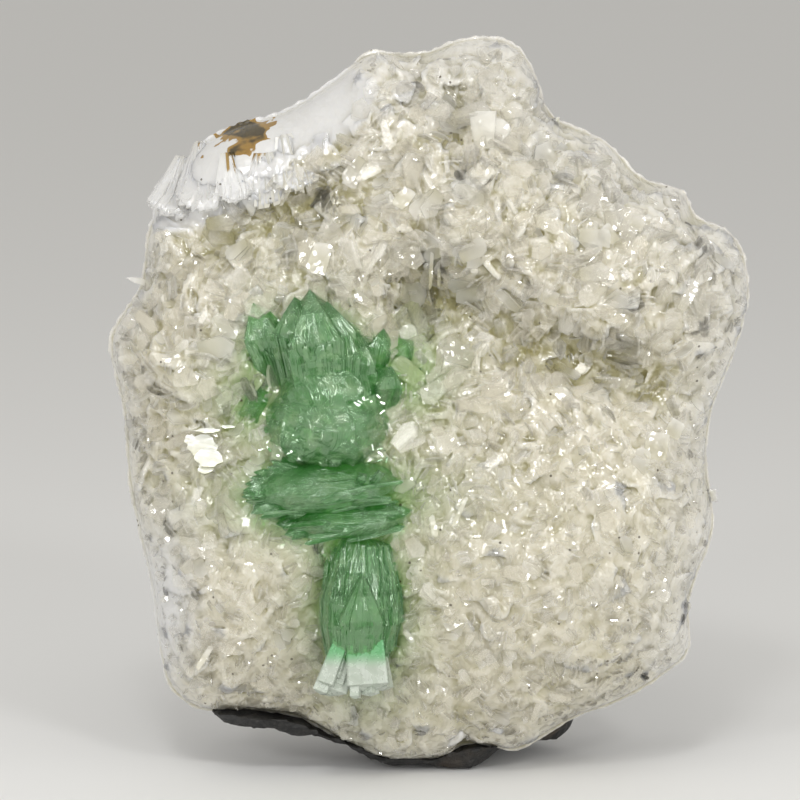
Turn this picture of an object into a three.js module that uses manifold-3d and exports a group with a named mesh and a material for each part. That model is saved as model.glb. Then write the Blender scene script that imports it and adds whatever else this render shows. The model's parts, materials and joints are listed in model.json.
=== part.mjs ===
// Green apophyllite on a crust of stilbite blades, on dark basalt.
//
// The specimen stands on a flat fracture at the bottom of its basalt. The origin lies in that foot,
// +Z is up and the crystals face -Y. Sizes are in millimetres.
import * as THREE from "three";
import { mergeVertices } from "three/addons/utils/BufferGeometryUtils.js";
import Module from "manifold-3d";

const wasm = await Module();
wasm.setup();

// ---------------------------------------------------------------- driving dimensions
const HEIGHT = 123; // foot to the highest blade
const HEART = { x: -1.5, z: 0.5 * HEIGHT }; // the middle of the crust, seen from the front
const RIM_FRONT = -2; // y where the crust's face turns into its broken edge
const RIM_BACK = 3.5; // y where that edge meets the basalt
const FACE_BULGE = 15; // how far the crust's face stands in front of its edge
const SEAM_BULGE = 10.5; // how far the basalt stands up behind the crust
const ROCK_FRONT = -9; // y of the basalt's foremost place, under the crust
const ROCK_BACK = 26; // y of the basalt's back
const GAP = 0.3; // clearance between neighbouring solids
const CRUST_RINGS = 8; // rings of facets from the middle of the crust to its edge
const ROSETTE_PITCH = 16.4; // spacing of the rosettes of stilbite blades on the face
const EDGE_BLADES = 36; // blades that stand out round the crust's edge
const BLADE_REACH = 1.2; // how far those blades stand out, on average

// The outer reach of the crust, clockwise from the top left as seen from the front: [x, z].
const OUTLINE = [
  [-12, 120.5], [-3.5, 120.5], [5, 123], [12, 122], [15.5, 117.5], [18.5, 110.5],
  [27.5, 106], [33.5, 100], [40.5, 97.5], [42.5, 93.5], [48.5, 90.5], [51.5, 82],
  [49.5, 71.5], [45.5, 60], [45, 51], [46, 41], [42, 28], [42, 20],
  [37.5, 15.5], [30, 11], [22.5, 8], [12.5, 2.6], [8, 3.6], [3.6, 3.6], [1.8, 1.8], [-8.5, 1],
  [-16, 4], [-24.5, 8.5], [-33, 9.5], [-41, 10], [-45.5, 14], [-48.5, 30.5],
  [-52, 47.5], [-53, 60.5], [-55, 73], [-50, 82], [-48.5, 91], [-44.5, 100],
  [-36.5, 107.5], [-26, 111], [-17, 116.5],
];

// Swells and hollows of the crust's face: where, how wide, how far they rise, and their slant in degrees.
const SWELLS = [
  { x: -45, z: 77, rx: 10, rz: 9, rise: 3 }, // left shoulder
  { x: -31, z: 106, rx: 16, rz: 5.5, rise: 3.5, slant: 30 }, // broken ledge at the upper left
  { x: -29, z: 93, rx: 14, rz: 5, rise: -6, slant: 16 }, // recess under that ledge
  { x: -9, z: 109, rx: 10, rz: 9, rise: 2.5 }, // top, left of the groove
  { x: 2, z: 112, rx: 3, rz: 9, rise: -4 }, // groove in the top
  { x: 10, z: 111, rx: 8, rz: 9, rise: 2.5 }, // top, right of the groove
  { x: 8, z: 95, rx: 11, rz: 9, rise: 4 }, // lump above the pit
  { x: -2, z: 82, rx: 7, rz: 8, rise: -7 }, // pit beside the green crystals
  { x: 27, z: 100, rx: 10, rz: 8, rise: 3.5 }, // upper right lumps
  { x: 41, z: 88, rx: 10, rz: 10, rise: 3.5 },
  { x: 26, z: 86, rx: 12, rz: 7, rise: 3 },
  { x: 24, z: 70, rx: 21, rz: 5, rise: -6.5, slant: -19 }, // valley from the pit to the right edge
  { x: 20, z: 38, rx: 25, rz: 23, rise: 5 }, // broad dome at the lower right
  { x: -37, z: 37, rx: 13, rz: 17, rise: 2.5 }, // low dome at the lower left
  { x: -15, z: 36, rx: 11, rz: 20, rise: -3 }, // trough that holds the green sheaf
  { x: -13, z: 88, rx: 5, rz: 5, rise: 2.5 }, // lump between recess and pit
];

// ---------------------------------------------------------------- helpers

// A repeatable sequence of numbers from 0 to 1.
function sequence(seed) {
  let state = seed;
  return () => {
    state = (state + 0x6d2b79f5) | 0;
    let t = Math.imul(state ^ (state >>> 15), 1 | state);
    t = (t + Math.imul(t ^ (t >>> 7), 61 | t)) ^ t;
    return ((t ^ (t >>> 14)) >>> 0) / 4294967296;
  };
}

const between = (draw, low, high) => low + (high - low) * draw();
const degrees = THREE.MathUtils.degToRad;
const clamp01 = (t) => Math.min(1, Math.max(0, t));
const vector = (x, y, z) => new THREE.Vector3(x, y, z);

// A closed three.js geometry as a solid that can be joined and cut.
function solidOf(geometry) {
  const bare = new THREE.BufferGeometry();
  bare.setAttribute("position", geometry.getAttribute("position"));
  if (geometry.index) bare.setIndex(geometry.index);
  const merged = mergeVertices(bare, 1e-4);
  const mesh = new wasm.Mesh({
    numProp: 3,
    vertProperties: new Float32Array(merged.attributes.position.array),
    triVerts: new Uint32Array(merged.index.array),
  });
  return new wasm.Manifold(mesh);
}

const join = (solids) => solids.reduce((whole, next) => whole.add(next));

// The largest body of a solid, so that a chip cut free is dropped.
function largestBody(solid) {
  const bodies = solid.decompose();
  return bodies.reduce((best, body) => (body.volume() > best.volume() ? body : best));
}

// A solid as a named mesh with flat faces.
function meshOf(name, solid, material) {
  const { numProp, vertProperties, triVerts } = solid.getMesh();
  const places = new Float32Array((vertProperties.length / numProp) * 3);
  for (let i = 0; i < places.length / 3; i++) {
    places.set(vertProperties.subarray(i * numProp, i * numProp + 3), i * 3);
  }
  const indexed = new THREE.BufferGeometry();
  indexed.setAttribute("position", new THREE.BufferAttribute(places, 3));
  indexed.setIndex(new THREE.BufferAttribute(new Uint32Array(triVerts), 1));
  const flat = indexed.toNonIndexed();
  flat.computeVertexNormals();
  const mesh = new THREE.Mesh(flat, material);
  mesh.name = name;
  return mesh;
}

// Moves a shape made along +Z so that it starts at root and points along a direction, with its
// broad side (its +Y side) turned as far as it can be towards facing.
function stand(geometry, root, along, facing) {
  const up = along.clone().normalize();
  const side = new THREE.Vector3().crossVectors(facing, up).normalize();
  const broad = new THREE.Vector3().crossVectors(up, side);
  const turn = new THREE.Matrix4().makeBasis(side, broad, up);
  geometry.applyMatrix4(turn);
  geometry.translate(root.x, root.y, root.z);
  return geometry;
}

// ---------------------------------------------------------------- the crust's face

const outlineCurve = new THREE.CatmullRomCurve3(
  OUTLINE.map(([x, z]) => vector(x, 0, z)),
  true,
  "centripetal",
);
const rimSamples = outlineCurve
  .getPoints(1200)
  .map((p) => [Math.atan2(p.z - HEART.z, p.x - HEART.x), Math.hypot(p.z - HEART.z, p.x - HEART.x)])
  .sort((a, b) => a[0] - b[0]);

// Distance from the heart of the crust to its outline, in the direction of an angle.
function outlineRadius(angle) {
  const wrapped = Math.atan2(Math.sin(angle), Math.cos(angle));
  const next = rimSamples.findIndex(([a]) => a >= wrapped);
  return rimSamples[Math.max(next, 0)][1];
}

// How far out a place lies: 0 at the heart and 1 at the edge.
function shareOut(x, z) {
  const angle = Math.atan2(z - HEART.z, x - HEART.x);
  return Math.hypot(x - HEART.x, z - HEART.z) / (outlineRadius(angle) - BLADE_REACH);
}

function swellAt(x, z) {
  return SWELLS.reduce((sum, s) => {
    const slant = degrees(s.slant ?? 0);
    const u = (x - s.x) * Math.cos(slant) + (z - s.z) * Math.sin(slant);
    const v = (z - s.z) * Math.cos(slant) - (x - s.x) * Math.sin(slant);
    return sum + s.rise * Math.exp(-((u / s.rx) ** 2) - (v / s.rz) ** 2);
  }, 0);
}

// y of the crust's face.
function faceY(x, z) {
  const out = clamp01(shareOut(x, z));
  const dome = FACE_BULGE * (1 - out ** 3.4) ** 0.55;
  return RIM_FRONT - dome - swellAt(x, z) * (1 - out ** 7);
}

// The direction in which the crust's face looks.
function faceNormal(x, z) {
  const step = 1.5;
  const dx = (faceY(x + step, z) - faceY(x - step, z)) / (2 * step);
  const dz = (faceY(x, z + step) - faceY(x, z - step)) / (2 * step);
  return vector(dx, -1, dz).normalize();
}

// ---------------------------------------------------------------- stilbite

// The crust without its blades: a face of rings of facets, a broken edge and a smooth back that
// fits the basalt. grow moves the back and the edge outwards, and front gives the face one flat y.
function crustBody(grow = 0, front = null) {
  const places = [];
  const faces = [];
  const draw = sequence(3);
  const ringPoint = (share, angle, y) => {
    const r = share * (outlineRadius(angle) - BLADE_REACH + grow);
    const x = HEART.x + r * Math.cos(angle);
    const z = HEART.z + r * Math.sin(angle);
    const uneven = between(draw, -1.2, 1.2);
    places.push(x, y ?? front ?? faceY(x, z) + uneven, z);
  };

  // The face: ring k has 6 k points.
  const firstOf = (k) => (k === 0 ? 0 : 1 + 3 * k * (k - 1));
  ringPoint(0, 0);
  for (let k = 1; k <= CRUST_RINGS; k++) {
    for (let i = 0; i < 6 * k; i++) {
      const y = k === CRUST_RINGS ? (front ?? RIM_FRONT) : null;
      ringPoint(k / CRUST_RINGS, (i / (6 * k)) * 2 * Math.PI, y);
    }
  }
  for (let k = 1; k <= CRUST_RINGS; k++) {
    const inner = (i) => firstOf(k - 1) + (k === 1 ? 0 : i % (6 * (k - 1)));
    const outer = (i) => firstOf(k) + (i % (6 * k));
    for (let side = 0; side < 6; side++) {
      for (let i = 0; i < k; i++) {
        const o = side * k + i;
        const n = side * (k - 1) + i;
        faces.push(outer(o), outer(o + 1), inner(n));
        if (i < k - 1) faces.push(inner(n), outer(o + 1), inner(n + 1));
      }
    }
  }

  // The broken edge, and the back in rings that halve their points.
  let ring = { first: firstOf(CRUST_RINGS), count: 6 * CRUST_RINGS };
  const backRings = [0.985, 0.68, 0.34];
  backRings.forEach((share, level) => {
    const count = level < 1 ? ring.count : ring.count / 2;
    const first = places.length / 3;
    const y = RIM_BACK - SEAM_BULGE * (1 - share ** 2) + grow;
    for (let i = 0; i < count; i++) ringPoint(share, (i / count) * 2 * Math.PI, y);
    const outer = (i) => ring.first + (i % ring.count);
    const inner = (i) => first + (i % count);
    for (let i = 0; i < count; i++) {
      if (count === ring.count) {
        faces.push(outer(i), inner(i), outer(i + 1));
        faces.push(outer(i + 1), inner(i), inner(i + 1));
      } else {
        faces.push(outer(2 * i), inner(i), outer(2 * i + 1));
        faces.push(outer(2 * i + 1), inner(i), inner(i + 1));
        faces.push(outer(2 * i + 1), inner(i + 1), outer(2 * i + 2));
      }
    }
    ring = { first, count };
  });
  const middle = places.length / 3;
  places.push(HEART.x, RIM_BACK - SEAM_BULGE + grow, HEART.z);
  for (let i = 0; i < ring.count; i++) {
    faces.push(ring.first + i, middle, ring.first + ((i + 1) % ring.count));
  }

  const geometry = new THREE.BufferGeometry();
  geometry.setAttribute("position", new THREE.Float32BufferAttribute(places, 3));
  geometry.setIndex(faces);
  return solidOf(geometry);
}

// The outlines a blade can have, for a width and a length of 1, from its root at the bottom.
const POINTED = [[-0.3, 0], [0.3, 0], [0.5, 0.68], [0.05, 1], [-0.5, 0.74]];
const CHISEL = [[-0.34, 0], [0.34, 0], [0.5, 0.86], [-0.42, 1]];
const SHEAF = [
  [-0.22, 0], [0.22, 0], [0.5, 0.8], [0.36, 0.97], [0.2, 0.88], [0.02, 1],
  [-0.16, 0.9], [-0.34, 0.98], [-0.5, 0.78],
];

// One stilbite blade: a thin plate of an outline above, standing on root.
function blade(outline, { root, along, facing, length, width, thickness }) {
  const points = outline.map(([u, v]) => new THREE.Vector2(u * width, v * length));
  const geometry = new THREE.ExtrudeGeometry(new THREE.Shape(points), {
    depth: thickness,
    bevelEnabled: false,
  });
  geometry.translate(0, 0, -thickness / 2);
  geometry.rotateX(Math.PI / 2);
  return solidOf(stand(geometry, root, along, facing));
}

// The rosettes of the face: a staggered grid of them, each shifted, with three blades that open like
// petals and are sunk at their roots.
const PETALS = 3;
const SUNK = 2.6;

function rosetteBlades(middle, draw) {
  const blades = [];
  const start = between(draw, 0, 2 * Math.PI);
  for (let i = 0; i < PETALS; i++) {
    const turn = start + ((i + between(draw, -0.2, 0.2)) / PETALS) * 2 * Math.PI;
    const across = vector(Math.cos(turn), 0, Math.sin(turn));
    const offset = between(draw, 2, 3.6);
    const x = middle.x + across.x * offset;
    const z = middle.z + across.z * offset;
    const lean = Math.tan(degrees(between(draw, 34, 70)));
    const outline = draw() < 0.25 ? CHISEL : POINTED;
    const size = {
      length: SUNK + between(draw, 5, 8.5),
      width: between(draw, 4, 6.2),
      thickness: between(draw, 0.9, 1.5),
    };
    const roll = between(draw, -0.9, 0.9);
    if (shareOut(x, z) > 0.96) continue;
    const normal = faceNormal(x, z);
    const along = normal.clone().addScaledVector(across, lean).normalize();
    const facing = normal.clone().applyAxisAngle(along, roll);
    const root = vector(x, faceY(x, z), z).addScaledVector(along, -SUNK);
    blades.push(blade(outline, { root, along, facing, ...size }));
  }
  return blades;
}

function faceBlades() {
  const draw = sequence(7);
  const blades = [];
  let row = 0;
  for (let z = 4; z < HEIGHT; z += ROSETTE_PITCH * 0.87) {
    row += 1;
    for (let x = -60 + (row % 2) * (ROSETTE_PITCH / 2); x < 60; x += ROSETTE_PITCH) {
      const middle = { x: x + between(draw, -3, 3), z: z + between(draw, -3, 3) };
      blades.push(...rosetteBlades(middle, draw));
    }
  }
  return blades;
}

// Blades round the edge, pointing outwards and a little forwards, broad side to the front.
const CLEAR_OF_FLOOR = 2.4;

function edgeBlades() {
  const draw = sequence(19);
  const blades = [];
  for (let i = 0; i < EDGE_BLADES; i++) {
    const angle = ((i + between(draw, -0.3, 0.3)) / EDGE_BLADES) * 2 * Math.PI;
    const inner = outlineRadius(angle) - BLADE_REACH - 3.5;
    const slant = angle + between(draw, -0.5, 0.5);
    const along = vector(Math.cos(slant), between(draw, -0.45, -0.1), Math.sin(slant));
    const facing = vector(0, -1, 0).applyAxisAngle(along.normalize(), between(draw, -0.7, 0.7));
    const y = between(draw, RIM_FRONT - 1.5, RIM_FRONT + 2.5);
    const root = vector(HEART.x + inner * Math.cos(angle), y, HEART.z + inner * Math.sin(angle));
    const length = 3.5 + BLADE_REACH * between(draw, 1, 2.1);
    const width = between(draw, 4.5, 7);
    const thickness = between(draw, 1.2, 2);
    const outline = draw() < 0.5 ? CHISEL : POINTED;
    if (root.z + along.z * length < CLEAR_OF_FLOOR) continue;
    blades.push(blade(outline, { root, along, facing, length, width, thickness }));
  }
  return blades;
}

// The ledge at the upper left: thick broken sheaves whose ends hang over the recess below them.
// Each runs from a root [x, z] to an end [x, z].
const LEDGE_SHEAVES = [
  { from: [-42, 102], to: [-44, 93.5], width: 6.4 },
  { from: [-39, 104.5], to: [-37.8, 95.2], width: 6.2 },
  { from: [-33.5, 105.5], to: [-32.8, 96.6], width: 5 },
  { from: [-29, 106], to: [-28, 95.4], width: 6.4 },
  { from: [-25, 106.5], to: [-22.6, 98.4], width: 7 },
];
const LEDGE_OVERHANG = 3.4; // how far the ends stand in front of the face behind them
const LEDGE_THICKNESS = 3.6;

function ledgeSheaves() {
  return LEDGE_SHEAVES.map(({ from, to, width }) => {
    const root = vector(from[0], faceY(...from) + 1.2, from[1]);
    const end = vector(to[0], faceY(...to) - LEDGE_OVERHANG, to[1]);
    const along = end.clone().sub(root);
    const size = { length: along.length(), width, thickness: LEDGE_THICKNESS };
    return blade(SHEAF, { root, along, facing: vector(0, -1, 0.2), ...size });
  });
}

// The smooth broken flank that rises from the ledge to the top, seen from the front: [x, z].
const FLANK = [
  [-30, 106.5], [-25.5, 104.5], [-17, 104], [-15, 111], [-15.5, 115.8], [-19, 114],
  [-24, 110.8], [-29, 109.4],
];

function brokenFlank() {
  const points = FLANK.map(([x, z]) => new THREE.Vector2(x, z));
  const geometry = new THREE.ExtrudeGeometry(new THREE.Shape(points), {
    depth: 9,
    bevelEnabled: true,
    bevelThickness: 1.6,
    bevelSize: 0.6,
    bevelSegments: 1,
  });
  geometry.rotateX(Math.PI / 2);
  geometry.translate(0, 0.5, 0);
  return solidOf(geometry);
}

// ---------------------------------------------------------------- apophyllite

// One apophyllite crystal: a square prism that ends in a pyramid, from root to tip. turn rolls it
// about its length, flat squeezes it from front to back, and grow makes it larger on every side.
function prism({ root, tip, half, point, turn = 45, flat = 1 }, grow = 0) {
  const from = vector(...root);
  const to = vector(...tip);
  const along = new THREE.Vector3().subVectors(to, from).normalize();
  from.addScaledVector(along, -grow);
  to.addScaledVector(along, grow * 1.5);
  const length = from.distanceTo(to);
  const corner = (half + grow) * Math.SQRT2;
  const profile = [
    new THREE.Vector2(0, 0),
    new THREE.Vector2(corner * 0.86, 0),
    new THREE.Vector2(corner, length - point),
    new THREE.Vector2(0, length),
  ];
  const geometry = new THREE.LatheGeometry(profile, 4);
  geometry.rotateX(Math.PI / 2);
  geometry.rotateZ(degrees(turn));
  geometry.scale(1, flat, 1);
  return solidOf(stand(geometry, from, along, vector(0.01, -1, 0.02)));
}

// A rounded mass of intergrown crystals: size is its reach from its middle along x, y and z.
function lump({ at, size, lean = 0 }, grow = 0) {
  const geometry = new THREE.IcosahedronGeometry(1, 1);
  geometry.scale(size[0] + grow, size[1] + grow, size[2] + grow);
  geometry.rotateY(degrees(lean));
  geometry.translate(...at);
  return solidOf(geometry);
}

// A bundle of fibres: a lathed form whose ribs run along it. profile lists [radius, height] from
// the bottom up, depth squeezes it from front to back.
function bundle({ at, profile, ribs, depth = 1, lean = 0 }, grow = 0) {
  const steps = profile.map(([r, h]) => new THREE.Vector2(r > 0 ? r + grow : 0, h));
  steps[0].y -= grow;
  steps[steps.length - 1].y += grow;
  const geometry = new THREE.LatheGeometry(steps, ribs * 2);
  const places = geometry.getAttribute("position");
  for (let i = 0; i < places.count; i++) {
    const angle = Math.atan2(places.getX(i), places.getZ(i));
    const rib = 1 + 0.05 * Math.cos(ribs * angle);
    places.setXYZ(i, places.getX(i) * rib, places.getY(i), places.getZ(i) * rib);
  }
  geometry.rotateX(Math.PI / 2);
  geometry.scale(1, depth, 1);
  geometry.rotateY(degrees(lean));
  geometry.translate(...at);
  return solidOf(geometry);
}

// The crown: a broad pointed crystal with a second behind it, a leaf at the left, slender ones at
// the right, and below them a rounded mass set with stubby crystals.
const CROWN = [
  { form: prism, root: [-18, -15, 60], tip: [-21, -24.5, 84], half: 6.2, point: 11, turn: 45 },
  { form: prism, root: [-20.5, -14, 60], tip: [-23.4, -20.5, 82], half: 3.8, point: 6, turn: 20 },
  { form: prism, root: [-16, -14, 60], tip: [-13.2, -21.5, 77.5], half: 4.2, point: 5, turn: 45 },
  { form: prism, root: [-24, -12, 62], tip: [-30.2, -19.5, 81], half: 3.6, point: 7, turn: 40 },
  { form: prism, root: [-12, -14, 62], tip: [-9.2, -20.5, 77], half: 2.3, point: 3, turn: 30 },
  { form: prism, root: [-11, -14, 60], tip: [-8, -22.5, 71], half: 2.6, point: 3, turn: 60 },
  { form: lump, at: [-18.3, -16.4, 61.2], size: [10.8, 10.6, 7.8] },
  { form: prism, root: [-18, -14, 62], tip: [-18.5, -28.2, 65], half: 5, point: 3, turn: 45 },
  { form: prism, root: [-18, -14, 62], tip: [-25.8, -25.2, 58.5], half: 4, point: 3, turn: 15 },
  { form: prism, root: [-18, -14, 62], tip: [-10.8, -25.6, 63.5], half: 4, point: 3, turn: 65 },
  { form: prism, root: [-18, -14, 62], tip: [-13.5, -26.6, 58], half: 3.8, point: 3, turn: 5 },
];

// Small crystals beside the crown, half sunk in the crust.
const RIGHT_SATELLITE = [
  { form: prism, root: [-7.6, -11, 70], tip: [-5.4, -18.4, 74.5], half: 1.9, point: 2.2, turn: 30 },
  { form: prism, root: [-6.4, -11, 67.5], tip: [-3, -17.6, 70], half: 2, point: 2.2, turn: 70 },
];
const LEFT_SATELLITE = [
  { form: prism, root: [-29, -10, 62.5], tip: [-31, -19.4, 64.5], half: 2.2, point: 2.4, turn: 20 },
];

// The disc under the crown: a fan of flat fibres that lie across, over a second, smaller fan.
const DISC = [
  {
    form: bundle,
    at: [-18.6, -17, 50.6],
    profile: [[0, -4], [8, -3.6], [12.8, -0.6], [11, 2.4], [6.4, 4.4], [0, 4.8]],
    ribs: 9,
    depth: 0.68,
    lean: -7,
  },
  { form: prism, root: [-20, -18, 51.5], tip: [-33, -21, 49.8], half: 2.4, point: 3.4, turn: 45 },
  { form: prism, root: [-20, -17.5, 50], tip: [-30.8, -20, 46.4], half: 2.2, point: 3, turn: 20 },
  { form: prism, root: [-13, -18, 48.5], tip: [-8.8, -25.2, 54.6], half: 1.2, point: 2, turn: 0 },
  { form: prism, root: [-15, -18, 48.5], tip: [-11.8, -25.4, 54], half: 1.1, point: 2, turn: 30 },
  {
    form: bundle,
    at: [-14.8, -16.5, 45.4],
    profile: [[0, -2.8], [6, -2.4], [9.8, 0.2], [6.4, 2.6], [0, 3]],
    ribs: 7,
    depth: 0.72,
    lean: -4,
  },
  { form: prism, root: [-13, -16, 45.4], tip: [-4.6, -18.6, 47], half: 1.9, point: 2.6, turn: 45 },
  { form: prism, root: [-18, -14, 44.5], tip: [-24, -18.8, 42.4], half: 1.9, point: 2.4, turn: 10 },
];

// The sheaf at the bottom: a ribbed barrel of fibres, a clear crystal set in its front with its
// point upwards, and two blunt frosted crystals that come out below.
const SHEAF_BUNDLE = [
  {
    form: bundle,
    at: [-12.8, -17.2, 0],
    profile: [[0, 22.6], [5.4, 22.6], [6.9, 27.5], [7.2, 31.8], [5.8, 37.4], [4.2, 41.6], [0, 42.2]],
    ribs: 9,
    depth: 0.86,
  },
  { form: prism, root: [-13, -19.2, 22.8], tip: [-12.8, -22.4, 37], half: 3.4, point: 6, turn: 45 },
  { form: prism, root: [-14.4, -17.4, 28], tip: [-18.2, -20.6, 16.6], half: 2.4, point: 1.4, turn: 35 },
  { form: prism, root: [-12.4, -17.4, 28], tip: [-11.6, -21.4, 17.2], half: 3.4, point: 0.8, turn: 50 },
];

const cluster = (crystals, grow) => join(crystals.map((c) => c.form(c, grow)));

// ---------------------------------------------------------------- basalt

// The rock behind the crust, seen from the front: [x, z]. Its lowest stretch is the foot.
const ROCK_OUTLINE = [
  [-8.5, 0], [6.5, 0], [10.5, 2.5], [17, 3], [22, 3.4], [24, 7], [36, 18],
  [39.5, 30], [42, 44], [43, 60], [47, 80], [38, 92], [26, 100], [14, 108],
  [3, 117], [-13, 114], [-27, 105], [-39, 98], [-45, 82], [-50, 70], [-47.5, 52],
  [-45.5, 36], [-43, 22], [-40, 12.5], [-36, 9], [-29, 7], [-23, 5.7], [-17, 5],
];

// Fracture planes: a place on the plane, and the direction that is broken away.
const FRACTURES = [
  { at: [0, 25, 60], away: [0.1, 1, 0.06] }, // the back, in several facets
  { at: [-30, 20, 60], away: [-0.75, 1, 0.1] },
  { at: [34, 19, 62], away: [0.9, 1, 0.2] },
  { at: [0, 19, 100], away: [0.05, 1, 0.95] },
  { at: [31, 16, 22], away: [0.8, 1, -0.45] },
  { at: [-28, 18, 22], away: [-0.6, 1, -0.75] },
  { at: [-36, 12, 98], away: [-0.7, 0.6, 1] },
  { at: [30, 10, 98], away: [0.8, 0.7, 1] },
  { at: [0, -4, 0], away: [0, -1, -0.5] }, // in front of the foot, and at its right
  { at: [6, -3, 0], away: [0.7, -0.7, -0.9] },
];

// The rock before it is fitted behind the crust. grow makes it larger all round its outline.
function rockSlab(grow) {
  const middle = new THREE.Vector2(0, HEIGHT / 2);
  const points = ROCK_OUTLINE.map(([x, z]) => {
    const place = new THREE.Vector2(x, z);
    const out = place.clone().sub(middle).normalize();
    return place.addScaledVector(out, grow);
  });
  const slab = new THREE.ExtrudeGeometry(new THREE.Shape(points), {
    depth: ROCK_BACK - ROCK_FRONT,
    bevelEnabled: false,
  });
  slab.rotateX(Math.PI / 2);
  slab.translate(0, ROCK_BACK, 0);
  let solid = solidOf(slab);
  const far = 200;
  for (const { at, away } of FRACTURES) {
    const broken = new THREE.BoxGeometry(far, far, far);
    broken.translate(0, 0, far / 2 + grow);
    const out = vector(...away);
    const side = Math.abs(out.z) < 0.9 ? vector(0, 0, 1) : vector(0, 1, 0);
    solid = solid.subtract(solidOf(stand(broken, vector(...at), out, side)));
  }
  return solid;
}

// ---------------------------------------------------------------- the specimen

const stilbite = new THREE.MeshStandardMaterial({ color: 0xcfcab6, roughness: 0.35 });
const apophyllite = new THREE.MeshStandardMaterial({ color: 0x6aa56a, roughness: 0.15 });
const basalt = new THREE.MeshStandardMaterial({ color: 0x23221f, roughness: 0.9 });

const greenClusters = {
  apophyllite_crown: CROWN,
  apophyllite_disc: DISC,
  apophyllite_sheaf: SHEAF_BUNDLE,
  apophyllite_right_satellite: RIGHT_SATELLITE,
  apophyllite_left_satellite: LEFT_SATELLITE,
};

const specimen = new THREE.Group();

// Each green cluster keeps clear of those before it, and the crust keeps clear of them all.
let taken = null;
for (const [name, crystals] of Object.entries(greenClusters)) {
  const whole = cluster(crystals, 0);
  const kept = taken ? largestBody(whole.subtract(taken)) : whole;
  specimen.add(meshOf(name, kept, apophyllite));
  const room = cluster(crystals, GAP);
  taken = taken ? taken.add(room) : room;
}

// Blades stop short of the rock, and the rock keeps behind the crust and all that lies before it.
const IN_FRONT = -60;
const rockRoom = rockSlab(2 * GAP).subtract(crustBody(0, IN_FRONT));
const blades = [...faceBlades(), ...edgeBlades(), ...ledgeSheaves(), brokenFlank()];
const crust = largestBody(join([crustBody(), ...blades]).subtract(taken).subtract(rockRoom));
const rock = largestBody(rockSlab(0).subtract(crustBody(GAP, IN_FRONT)));
specimen.add(meshOf("stilbite_crust", crust, stilbite));
specimen.add(meshOf("basalt_matrix", rock, basalt));

export default specimen;
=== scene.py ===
"""The looks of a hand specimen: green apophyllite on a crust of stilbite blades, on dark basalt.

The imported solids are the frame. Lists below are in millimetres, in the frame's own axes: +Z is up, the
crystals face -Y and the origin lies in the foot of the basalt. Meshes are made in metres.
"""

import json
import math
import random

import bmesh
import bpy
import numpy as np
from mathutils import Matrix, Vector, kdtree, noise

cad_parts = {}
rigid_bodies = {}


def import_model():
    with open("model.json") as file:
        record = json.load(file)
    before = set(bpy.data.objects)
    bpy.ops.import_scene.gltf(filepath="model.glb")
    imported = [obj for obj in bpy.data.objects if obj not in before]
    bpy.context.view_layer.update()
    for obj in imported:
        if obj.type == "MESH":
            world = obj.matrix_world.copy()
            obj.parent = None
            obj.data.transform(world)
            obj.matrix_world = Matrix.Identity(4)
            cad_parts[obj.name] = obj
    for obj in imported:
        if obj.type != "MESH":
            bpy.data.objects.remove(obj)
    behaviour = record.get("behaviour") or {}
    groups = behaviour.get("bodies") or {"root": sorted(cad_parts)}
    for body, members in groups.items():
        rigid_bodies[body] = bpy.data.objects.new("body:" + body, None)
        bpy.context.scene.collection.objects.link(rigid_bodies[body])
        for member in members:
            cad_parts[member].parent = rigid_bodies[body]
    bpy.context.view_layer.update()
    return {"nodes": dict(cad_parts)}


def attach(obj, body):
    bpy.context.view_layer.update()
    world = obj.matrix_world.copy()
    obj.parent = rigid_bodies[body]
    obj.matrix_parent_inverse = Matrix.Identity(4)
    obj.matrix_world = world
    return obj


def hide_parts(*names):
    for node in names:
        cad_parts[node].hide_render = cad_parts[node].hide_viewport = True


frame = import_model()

# ---------------------------------------------------------------- the bed of the stilbite crust
# The crust is one plate of stilbite that grew in a cavity of the basalt. The bed is its body: a face of
# rounded swells and small lumps, a broken edge, and a back that fits the rock. It stands for the crust's
# solid together with the blades, the ledge and the foot that are made after it.

MM = 0.001
HEART_X, HEART_Z = -1.5, 61.5  # the middle of the crust, seen from the front
RIM_FRONT, RIM_BACK = -2.0, 3.5  # y of the front and the back of the broken edge
FACE_BULGE, SEAM_BULGE = 15.0, 10.5  # how far the face and the back stand in front of that edge
BLADE_REACH = 1.2  # how far blades stand out round the edge

CRUST_OUTLINE = [
    (-12, 120.5), (-3.5, 120.5), (5, 123), (12, 122), (15.5, 117.5), (18.5, 110.5),
    (27.5, 106), (33.5, 100), (40.5, 97.5), (42.5, 93.5), (48.5, 90.5), (51.5, 82),
    (49.5, 71.5), (45.5, 60), (45, 51), (46, 41), (42, 28), (42, 20),
    (37.5, 15.5), (30, 11), (22.5, 8), (12.5, 2.6), (8, 3.6), (3.6, 3.6), (1.8, 1.8), (-8.5, 1),
    (-16, 4), (-24.5, 8.5), (-33, 9.5), (-41, 10), (-45.5, 14), (-48.5, 30.5),
    (-52, 47.5), (-53, 60.5), (-55, 73), (-50, 82), (-48.5, 91), (-44.5, 100),
    (-36.5, 107.5), (-26, 111), (-17, 116.5),
]  # x and z, clockwise from the top left

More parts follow.
